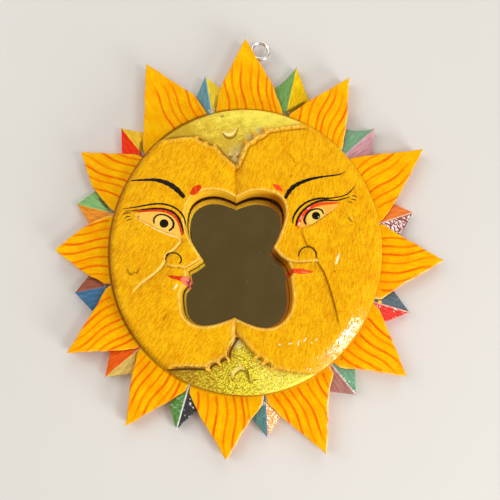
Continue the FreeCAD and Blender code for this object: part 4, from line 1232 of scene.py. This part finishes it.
def gold_field(field, material):
    """A gold field: straight lines from the moons' edges to the rim, dished a little, with raised marks,
    rounded over the rim and carried down its side."""
    top = field == "top"
    left, right = (dense_field_edge(field, side)[0] for side in SIDES)
    low = spaced(np.concatenate([left[::-1], right[1:]]), GOLD_ROWS)
    ends = [math.degrees(math.atan2(*line[-1])) % 360 for line in (left, right)]
    bearings = np.linspace(ends[0] - 360 * top, ends[1], GOLD_ROWS)
    high = rim_top(bearings)
    share = np.linspace(0, 1, GOLD_COLUMNS)
    plan = between(low, high, share)
    # The patch runs in a little under the moons
    plan[..., 1] -= (0.5 if top else -0.5) * (1 - share)
    x, y = plan[..., 0], plan[..., 1]
    to_rim = np.maximum(rim_gap(x, y), 0)
    to_left, to_right = (line_gap(x, y, spaced(line, 120)) for line in (left, right))
    to_moon = np.minimum(to_left, to_right)
    mark = stroke_gap(x, y, MARKS[field])
    z = DISC_TOP + GOLD_RISE - rounding(to_rim, GOLD_ROUND)
    z -= 0.3 * soft_step(3, 0, to_moon) * soft_step(0.5, 3, to_rim)
    z += MARK_RISE * soft_step(0.35, -0.5, mark) + 0.1 * ripple(x, y, 8.0, 2.2) * soft_step(0, 2, to_rim)
    steps = np.linspace(0, 1, SIDE_COLUMNS + 1)[1:]
    flat = np.concatenate([plan[:, :1], plan, between(high, polar(bearings) + unit(high) * SKIN, steps)], 1)
    side_z = z[:, -1:] + (RAY_TOP + 0.15 - z[:, -1:]) * steps
    heights = np.concatenate([np.full((GOLD_ROWS, 1), DISC_TOP - 0.5), z, side_z], 1)
    # Painted shade beside the left moon and under the marks, and a little beside the right moon's lip
    left_shade = 0.6 if top else 0.95
    painted_shadow = np.maximum(left_shade * soft_step(1.5, 0.6, to_left), 0.3 * soft_step(0.9, 0.3, to_moon))
    lower = soft_step(0.1, 0.3, mark) * soft_step(0.5, 0.1, stroke_gap(x, y + 0.8, MARKS[field]))
    painted_shadow = np.maximum(painted_shadow, 0.75 * lower)
    # Painted highlights on the marks' upper left sides
    crest = soft_step(0.1, -0.25, stroke_gap(x + 0.3, y - 0.25, MARKS[field]))
    # A painted sheen, brighter to the right
    painted_sheen = 0.55 * x / 25 + 0.05 * (y - 52) if top else 0.25 + 0.85 * x / 25
    if not top:
        # The arch has a painted highlight on its left and painted shade on its right
        shaded_side = soft_step(-2.0, 0.0, x)
        crest *= soft_step(0.2, -3.4, x)
        painted_shadow = np.maximum(painted_shadow, 0.8 * soft_step(0.3, -0.1, mark) * shaded_side)
        mark = mark + 2 * shaded_side
    silver = np.max([0.8 * bump(np.hypot(x - a, y - b), r) for a, b, r in SILVERY[field]], 0)
    # Each value with what it is at the foot beside the moons and down the rim's side
    fields = {
        "painted_shade": (painted_shadow, 1.0, 0.15),
        "silver": (silver, 0.0, 0.0),
        "mark": (mark, FAR, FAR),
        "crest": (crest, 0.0, 0.0),
        "painted_sheen": (np.clip(painted_sheen, -1, 1.2), 0.0, 0.0),
        # Painted glints, more of them to the right
        "painted_glints": (soft_step(-22, 14, x) * (0.6 if top else 1.0), 0.0, 0.0),
    }
    values = {
        label: np.pad(value, ((0, 0), (1, SIDE_COLUMNS)), constant_values=((0, 0), edges))
        for label, (value, *edges) in fields.items()
    }
    add_tubes(field + "_gold_field", [np.dstack([flat, heights])], material, (), values, top)


MATTE_GOLD = gold_material("matte gold paint", paint(206, 166, 28), paint(254, 236, 86), 0.2, 0.15)
GLITTER_GOLD = gold_material("glittering gold paint", paint(166, 114, 0), paint(255, 244, 62), 0.62, 0.2)
gold_field("top", MATTE_GOLD)
gold_field("bottom", GLITTER_GOLD)


# The long rays

TIP_ROUND = 0.5
BLUNT_TIP = 2.2
BLUNT_RAY = 9
RAY_EDGE = 0.8
ROOT_SHARE = 1.07
# From its root a ray narrows on for a bit, and its tail then runs in under the rim, up to the disc's boss
NECK = 4.2
BOSS_LAP = 5.85
TAIL_ROWS = 5
# Rows of a long ray's grid from the neck to the tip, of which the last ones round the tip, and its columns
LONG_ROWS = 110
TIP_ROWS = 12
TOP_COLUMNS = 58
UNDER_COLUMNS = 21
# How strong the pale painted highlight, with a little wear, is on the left and right top edges of some rays
EDGE_HIGHLIGHTS = {"left": {4: 0.15, 5: 1.0, 6: 0.8}, "right": {1: 0.4, 3: 0.6, 4: 0.4, 5: 0.2, 9: 0.3}}
# The ray whose stripes are fainter
FAINT_RAY = 11


def ray_places(number):
    """Root and shoulder of a long ray on both flanks, its tip, its outward and clockwise directions, and the
    rim's reach there."""
    bearing, tip_share, *flanks = LONG_RAYS[number]
    angle = math.radians(bearing)
    left, right = (
        (polar(bearing + root, ROOT_SHARE), polar(bearing + turn, share))
        for root, turn, share in (flanks[:3], flanks[3:])
    )
    return {
        "tip": polar(bearing, tip_share),
        "left": left,
        "right": right,
        "out": np.array([math.sin(angle), math.cos(angle)]),
        "clockwise": np.array([math.cos(angle), -math.sin(angle)]),
        "rim": rim_reach(bearing),
    }


def flank(root, shoulder, tip, other_shoulder, inward, radius):
    """A ray's flank from under the rim to the tip: straight runs with the shoulder rounded by a parabola, and
    half of the arc that rounds the tip."""
    before = unit(root - shoulder)
    back = unit(shoulder - tip)
    other = unit(other_shoulder - tip)
    reach = 0.3 * min(np.hypot(*(root - shoulder)), np.hypot(*(tip - shoulder)))
    t = np.linspace(0, 1, 24)[:, None]
    first = shoulder + before * reach
    last = shoulder - back * reach
    bend = (1 - t)**2 * first + 2 * t * (1 - t) * shoulder + t**2 * last
    half_angle = math.acos(np.clip(back @ other, -1, 1)) / 2
    centre = tip + unit(back + other) * radius / math.sin(half_angle)
    touch = tip + back * radius / math.tan(half_angle)
    turns = np.linspace(0, math.pi / 2 - half_angle, TIP_ROWS + 1)[1:, None]
    arc = centre + np.cos(turns) * (touch - centre) - np.sin(turns) * radius * back
    straight = spaced([root + inward, root, *bend, touch], LONG_ROWS - TIP_ROWS)
    return np.concatenate([straight, arc])


def long_ray(number):
    """A flat board with hand-cut flanks: its section, with rounded top edges, carried from boss to tip.
    Stripes are lines of one tilt that waver along the ray."""
    at = ray_places(number)
    radius = BLUNT_TIP if number == BLUNT_RAY else TIP_ROUND
    left = flank(*at["left"], at["tip"], at["right"][1], -at["out"] * NECK, radius)
    right = flank(*at["right"], at["tip"], at["left"][1], -at["out"] * NECK, radius)
    step = np.linspace(0, 1, LONG_ROWS)[:, None]
    sway = 0.22 * np.sin(21 * step + number) * np.sin(9 * step + 2 * number) * soft_step(1, 0.8, step)
    inward = at["clockwise"] * soft_step(1, 0.9, step)
    left = left + inward * (sway + 0.12)
    right = right - inward * (np.roll(sway, 17, 0) + 0.12)
    width = np.maximum(np.hypot(*(right - left).T), 0.02)[:, None]
    half = width / 2
    edge = RAY_EDGE * np.minimum(1, 0.45 * width / RAY_EDGE)
    # Columns go up one flank, over the top, down the other flank and back underneath: how far each is across
    # from the middle of the board, and how high
    turns = np.linspace(0, math.pi / 2, 6)
    rise = RAY_TOP - RAY_EDGE * (1 - np.sin(turns))
    up = edge * (1 - np.cos(turns)) - half
    over = (half - edge) * np.linspace(-1, 1, TOP_COLUMNS + 2)[1:-1]
    under = half * np.linspace(1, -1, UNDER_COLUMNS + 2)[1:-1]
    across = np.concatenate([-half, up, over, -up[:, ::-1], half, under], 1)
    flat_top = np.full(TOP_COLUMNS, RAY_TOP)
    walls = np.concatenate([[0], rise, flat_top, rise[::-1], np.zeros(UNDER_COLUMNS + 1)])
    plan = ((left + right) / 2)[:, None] + across[..., None] * ((right - left) / width)[:, None]
    neck = plan[0]
    boss_level = neck / (RIM_HALF_WIDTH - BOSS_LAP, RIM_HALF_HEIGHT - BOSS_LAP)
    boss = neck / np.hypot(boss_level[:, :1], boss_level[:, 1:])
    tail = boss + np.linspace(0, 1, TAIL_ROWS + 1)[:-1, None, None] * (neck - boss)
    plan = np.concatenate([tail, plan])
    across, half = (np.pad(grid, ((TAIL_ROWS, 0), (0, 0)), mode="edge") for grid in (across, half))
    x, y = plan[..., 0], plan[..., 1]
    along = plan @ at["out"] - at["rim"]
    side = plan @ at["clockwise"]
    uneven = 0.1 + 0.1 * ripple(x, y, 14.0, 0.4 + number) * (walls > RAY_TOP - 0.01)
    z = walls - uneven * (walls > 0)
    # Stripes: distance to the nearest, and how heavy it is
    tilt, offsets = STRIPES[number]
    order = np.arange(len(offsets))
    wave = 0.75 * np.sin(2 * np.pi * along[..., None] / 24 + 1.3 * number + 0.35 * order)
    straight = side[..., None] - (along[..., None] - 10) * math.tan(math.radians(tilt)) - wave
    start = 1.2 + 0.8 * np.sin(5.1 * order + number)
    gaps = np.maximum(np.abs(straight - offsets), start - along[..., None])
    nearest = np.argmin(gaps, -1)
    heavy = (0.78 + 0.22 * np.sin(3.7 * order + 1.9 * number)) * (0.85 if number == FAINT_RAY else 1.0)
    bearing = np.degrees(np.arctan2(x, y))
    outside = np.hypot(x / RIM_HALF_WIDTH, y / RIM_HALF_HEIGHT) - around_rim(RIM_LINE, bearing)
    # Pale painted highlights, with a little wear, on the top edges; strongest on some rays' edges
    worn = np.where(across < 0, EDGE_HIGHLIGHTS["left"].get(number, 0.08), EDGE_HIGHLIGHTS["right"].get(number, 0.08))
    values = {
        "stripe": np.minimum(gaps.min(-1) - (0.34 + 0.22 * heavy)[nearest], FAR),
        "strength": np.clip(heavy[nearest] + 0.15, 0, 1) * soft_step(31, 19, along),
        # A painted shadow line at the rim's foot
        "painted_shadow": around_rim(FOOT_SHADOW_STRENGTH, bearing) * soft_step(0.014, 0.006, outside),
        "wall": 0 * x + (walls < RAY_TOP - 0.75),
        "crest": bump(half - np.abs(across) - 0.3, 0.42) * (walls > RAY_TOP - 0.7) * worn,
        "ray_place": np.dstack([along, side, z]),
    }
    label = "%02d" % (number + 1)
    add_tubes("long_ray_board_" + label, [np.dstack([plan, z])], RAY_PAINT,
              ["long_ray_" + label], values)


RAY_PAINT = ray_material()
for ray_number in range(len(LONG_RAYS)):
    long_ray(ray_number)


# The short rays

# Colours: the facet before the ridge and the one after it, clockwise, and the record's slot
FACETS = [
    (paint(122, 170, 94), paint(255, 202, 2), "ray_green"),
    (paint(120, 172, 132), paint(212, 158, 168), "ray_green"),
    (paint(250, 132, 36), paint(140, 62, 48), "ray_salmon"),
    (paint(92, 114, 124), paint(240, 44, 20), "ray_blue"),
    (paint(112, 170, 134), paint(180, 124, 112), "ray_green"),
    (paint(255, 172, 84), paint(84, 140, 132), "ray_blue"),
    (paint(30, 27, 28), paint(80, 146, 40), "ray_green"),
    (paint(228, 194, 104), paint(255, 100, 2), "ray_salmon"),
    (paint(74, 120, 160), paint(160, 92, 68), "ray_maroon"),
    (paint(255, 158, 50), paint(142, 196, 122), "ray_green"),
    (paint(255, 52, 2), paint(255, 202, 50), "ray_red"),
    (paint(100, 152, 160), paint(255, 218, 42), "ray_blue"),
]
# Lines of paint along some ridges, and dabs of yellow as (along, across, radius)
RIDGE_LINES = {
    2: paint(240, 190, 160), 3: paint(236, 170, 150), 4: paint(222, 190, 186), 5: paint(62, 130, 186),
    6: paint(228, 234, 224), 11: paint(120, 170, 205),
}
YELLOW_DABS = {3: [(-0.2, -0.9, 0.9), (-3.6, 0.5, 0.8)]}
# Gloss of both facets where it is more than a trace
GLOSS = {
    1: (0.2, 0.2), 2: (0.15, 1.0), 3: (0.5, 0.9), 4: (0.9, 0.5),
    5: (0.75, 0.85), 6: (1.0, 0.8), 11: (0.1, 0.1),
}
TRACE = (0.01, 0.01)
# How dark and how wide the painted shadow in the seam with the long ray after it is, and how much primer
# shows at the inner end
SEAM_SHADOWS = {0: (0.9, 3.5), 8: (0.4, 2.2), 9: (0.8, 2.4), 10: (0.8, 3.2), 11: (0.5, 2.4)}
PRIMER = {5: 1.0, 11: 0.6}
# How far the outer edge of a facet before the ridge is hollowed
HOLLOWED = {0: 1.8, 1: 2.0, 6: 0.6}
RIDGE_HEIGHT = 7.0
RIDGE_ROUND = 0.35
RIDGE_FALL = math.tan(math.radians(4))
FACET_SLOPE = math.tan(math.radians(17))
FACET_EDGE = 0.5
# The tail runs in under the rim, and the underside is a little higher than the long rays', which it runs into
SHORT_TAIL = 11.0
SHORT_BOTTOM = 0.3
SHORT_ROWS = 70
SHORT_COLUMNS = 41


def short_ray(number):
    """A roof between two long rays: a ridge that falls to the tip, with a sloping facet on each side, carried
    from under the rim to the tip."""
    before = ray_places(number)["right"]
    after = ray_places((number + 1) % len(LONG_RAYS))["left"]
    tip = polar(*SHORT_RAYS[number])
    ridge_root = (before[0] + after[0]) / 2
    run = unit(tip - ridge_root)
    over = np.array([run[1], -run[0]])
    out = np.linspace(0, 1, 12)[:, None]
    hollowed = before[1] + out * (tip - before[1]) - 4 * HOLLOWED.get(number, 0) * out * (1 - out) * run
    left = spaced([before[0] - run * SHORT_TAIL, before[0], *hollowed], SHORT_ROWS, before)
    right = spaced([after[0] - run * SHORT_TAIL, *after, tip], SHORT_ROWS, after)
    # They run a little into the long rays, and stop short of their own outline beyond them
    for edge, shift, corner in ((left, over, before[1]), (right, -over, after[1])):
        beyond = soft_step(-1.0, 1.0, (edge - corner) @ run)
        edge += shift * (0.34 * beyond - 0.22)[:, None]
    shares = np.pad(np.linspace(0, 1, SHORT_COLUMNS), 1, mode="edge")
    plan = between(left, right, shares)
    x, y = plan[..., 0], plan[..., 1]
    along = (plan - ridge_root) @ run
    side = (plan - ridge_root) @ over
    width = np.hypot(*(right - left).T)[:, None]
    to_edge = np.minimum(shares, 1 - shares) * width
    z = RIDGE_HEIGHT - RIDGE_FALL * along - FACET_SLOPE * (np.hypot(side, RIDGE_ROUND) - RIDGE_ROUND)
    z += 0.06 * ripple(x, y, 5.0, 0.3 + number) + 0.035 * ripple(x, y, 2.0, 1.3 + number)
    z -= rounding(to_edge, FACET_EDGE) * np.minimum(width, 1.0)
    z[:, [0, -1]] = SHORT_BOTTOM
    outside = min((corner - ridge_root) @ run for corner in (before[1], after[1]))
    strength, reach = SEAM_SHADOWS.get(number, (0.0, 1.0))
    seam = strength * soft_step(reach, reach - 0.9, (1 - shares) * width)
    # Painted shade in the gaps along both edges, and a painted shadow in the seam under the long ray after it
    dark = soft_step(0.55, 0.25, to_edge) * soft_step(outside - 1.0, outside - 3.0, along)
    dabs = [np.hypot(along - a, side - b) - r for a, b, r in YELLOW_DABS.get(number, [])]
    values = {
        "side": side,
        "primer": PRIMER.get(number, 0.25) * soft_step(1.6, 0.0, along),
        "edge": np.maximum(dark, seam * soft_step(outside + 0.5, outside - 1.5, along)),
        "ridge": np.abs(side) - 0.3,
        "dab": np.min([np.full(z.shape, FAR), *dabs], 0),
        "ray_place": np.dstack([along, side, z]),
    }
    label = "%02d" % (number + 1)
    *hues, slot = FACETS[number]
    material = facet_material(
        "short ray paint " + label, hues, RIDGE_LINES.get(number), GLOSS.get(number, TRACE))
    add_tubes("short_ray_roof_" + label, [np.dstack([plan, z])], material,
              ["short_ray_" + label], values)


for ray_number in range(len(SHORT_RAYS)):
    short_ray(ray_number)


# Disc, mirror, back panel and screw eye

for node, node_material in (("sun_disc", wood_material()), ("back_panel", board_material())):
    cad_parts[node].data.materials.clear()
    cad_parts[node].data.materials.append(node_material)

SILVER_THICKNESS = 0.1
SILVER_GAP = 0.02
GROUND_BEVEL = 0.25


def pane(name, material, bottom, top, nodes=()):
    """A rectangular pane with a small ground bevel: its outline, drawn in at both ends, carried upwards."""
    low, high = (np.array(corner[:2]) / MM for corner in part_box("mirror_glass"))
    bevel = min(GROUND_BEVEL, (top - bottom) / 3)
    rings = []
    for z, inset in ((bottom, bevel), (bottom + bevel, 0.0), (top - bevel, 0.0), (top, bevel)):
        (x0, y0), (x1, y1) = low + inset, high - inset
        rings.append([(x0, y0, z), (x1, y0, z), (x1, y1, z), (x0, y1, z)])
    add_tubes(name, [np.array(rings)], material, nodes, smooth=False)


SILVER_TOP = GLASS_BOTTOM + SILVER_THICKNESS
pane("mirror_silver_layer", silver_material(), GLASS_BOTTOM, SILVER_TOP)
pane("mirror_glass_pane", glass_material(), SILVER_TOP + SILVER_GAP, GLASS_TOP, ["mirror_glass"])

EYE_WIRE = 2.0
EYE_HOLE = 6.6
# Where the eye stands: along the top ray's right flank from the tip, and out from it
EYE_ALONG = 8.1
EYE_STAND = 4.1
EYE_ROWS = 150
STEEL = steel_material()


def screw_eye():
    """Bent wire: a ring that stops just short of closing, then a neck that turns into the ray's flank; a
    round section carried along that path."""
    top_ray = ray_places(0)
    flank_way = unit(top_ray["right"][1] - top_ray["tip"])
    outward = np.array([-flank_way[1], flank_way[0]])
    centre = top_ray["tip"] + flank_way * EYE_ALONG + outward * EYE_STAND
    radius = (EYE_HOLE + EYE_WIRE) / 2
    turns = np.radians(np.linspace(-160, 172, 90))[::6, None]
    ring = centre + radius * (np.cos(turns) * outward + np.sin(turns) * flank_way)
    neck = [centre - outward * (radius + depth) for depth in (0.8, 2.0, 3.5, 5.0, 6.3)]
    path = smooth_line([*ring, *neck], EYE_ROWS)
    along = np.linspace(0, 1, EYE_ROWS)[:, None]
    way = unit(np.gradient(path, axis=0))
    normal = np.stack([way[:, 1], -way[:, 0]], -1)
    around = np.linspace(0, 2 * math.pi, 24, endpoint=False)
    thick = EYE_WIRE / 2 * np.clip(np.minimum((along + 0.004) / 0.02, (1.02 - along) / 0.08), 0.25, 1)
    plan = path[:, None] + (thick * np.cos(around))[..., None] * normal[:, None]
    z = RAY_TOP / 2 + 0.25 * np.cos(math.pi * along) + thick * np.sin(around)
    add_tubes("screw_eye_wire", [np.dstack([plan, z])], STEEL, ["eye_screw"], flip=True)


PIN_INSET = 2.6
# A pin: reach from the axis and depth below the panel's back, from the foot inside the board to the crown
PIN_PROFILE = [(0.45, -1.2), (0.5, -0.02), (1.15, 0.0), (1.2, 0.12), (1.05, 0.26), (0.6, 0.36), (0.1, 0.4)]


def panel_pins():
    """Pin heads round the back panel: each a low dome turned about its axis, its rim on the panel's back."""
    low, high = (np.array(corner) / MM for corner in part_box("back_panel"))
    (x0, x1), (y0, y1) = zip(low[:2] + PIN_INSET, high[:2] - PIN_INSET)
    x_mid, y_mid = (low[:2] + high[:2]) / 2
    around = np.linspace(0, 2 * math.pi, 20, endpoint=False)
    reach, depth = np.array(PIN_PROFILE).T[..., None]
    pins = []
    for x, y in [(x, y) for x in (x0, x_mid, x1) for y in (y0, y1)] + [(x0, y_mid), (x1, y_mid)]:
        ring_x = x + reach * np.cos(around)
        ring_y = y + reach * np.sin(around)
        pins.append(np.dstack([ring_x, ring_y, low[2] - depth + 0 * ring_x]))
    add_tubes("back_panel_pins", pins, STEEL, flip=True)


screw_eye()
panel_pins()


# Floor, light and camera


# Half width of the floor, and how far it lies under the mirror's back
FLOOR_HALF = 3000.0
FLOOR_DROP = 0.05


def stage_floor():
    """A wide pale floor just under the back of the mirror."""
    half = FLOOR_HALF * MM
    height = -FLOOR_DROP * MM
    mesh = bpy.data.meshes.new("floor")
    corners = [(-half, -half, height), (half, -half, height), (half, half, height), (-half, half, height)]
    mesh.from_pydata(corners, [], [(0, 1, 2, 3)])
    material, tree = new_material("pale floor", Roughness=0.9, Specular_IOR_Level=0.1)
    clouds = noise(place(tree, 180.0), 3.0)
    mesh.materials.append(finish(material, mix(clouds, paint(216, 213, 208), paint(226, 223, 218))))
    floor = bpy.data.objects.new("floor", mesh)
    bpy.context.scene.collection.objects.link(floor)


def studio_world():
    """Soft light from all sides, with one dark taupe patch overhead, where the mirror looks."""
    world = bpy.data.worlds.new("studio")
    world.use_nodes = True
    tree = world.node_tree
    patch_way = (0.01, 0.134, 0.991)
    way = add_node(tree, "TexCoord", None, "Generated")
    overhead = add_node(tree, "VectorMath", {0: way, 1: patch_way}, "Value", operation="DOT_PRODUCT")
    background = tree.nodes["Background"]
    colour = mix(overhead.ramp(0.94, 0.976), paint(232, 228, 222), paint(132, 110, 68))
    feed(colour, background.inputs["Color"])
    background.inputs["Strength"].default_value = 0.58
    bpy.context.scene.world = world


def area_lamp(name, where, size, power):
    """A square soft box that faces the mirror, with its place and size in metres."""
    light = bpy.data.lights.new(name, "AREA")
    light.shape = "SQUARE"
    light.size = size
    light.energy = power
    lamp = bpy.data.objects.new(name, light)
    lamp.location = where
    lamp.rotation_mode = "QUATERNION"
    lamp.rotation_quaternion = (-lamp.location).to_track_quat("-Z", "Y")
    bpy.context.scene.collection.objects.link(lamp)


def photo_camera():
    """The photograph's camera: close above the mirror, a little below its middle, tipped towards the top."""
    camera = bpy.data.cameras.new("camera")
    camera.sensor_width = 36.0
    camera.lens = 36.0
    camera.clip_start = 0.01
    eye = bpy.data.objects.new("camera", camera)
    across, up, back = (0.99955, -0.00474, 0.02961), (0.0, 0.98745, 0.15792), (-0.02999, -0.15785, 0.98701)
    where = (-0.0052, -0.0375, 0.237)
    eye.matrix_world = Matrix([(*row, 0.0) for row in (across, up, back)] + [(*where, 1.0)]).transposed()
    bpy.context.scene.collection.objects.link(eye)
    bpy.context.scene.camera = eye


stage_floor()
studio_world()
area_lamp("key light", (0.56, -0.3, 0.76), 0.22, 1.8)
area_lamp("side light", (0.66, -0.62, 0.26), 0.4, 6.2)
area_lamp("fill light", (-0.68, 0.25, 0.75), 0.7, 3.8)
area_lamp("top light", (0.2, 0.75, 0.7), 0.7, 2.2)
photo_camera()
bpy.context.scene.view_settings.view_transform = "Standard"
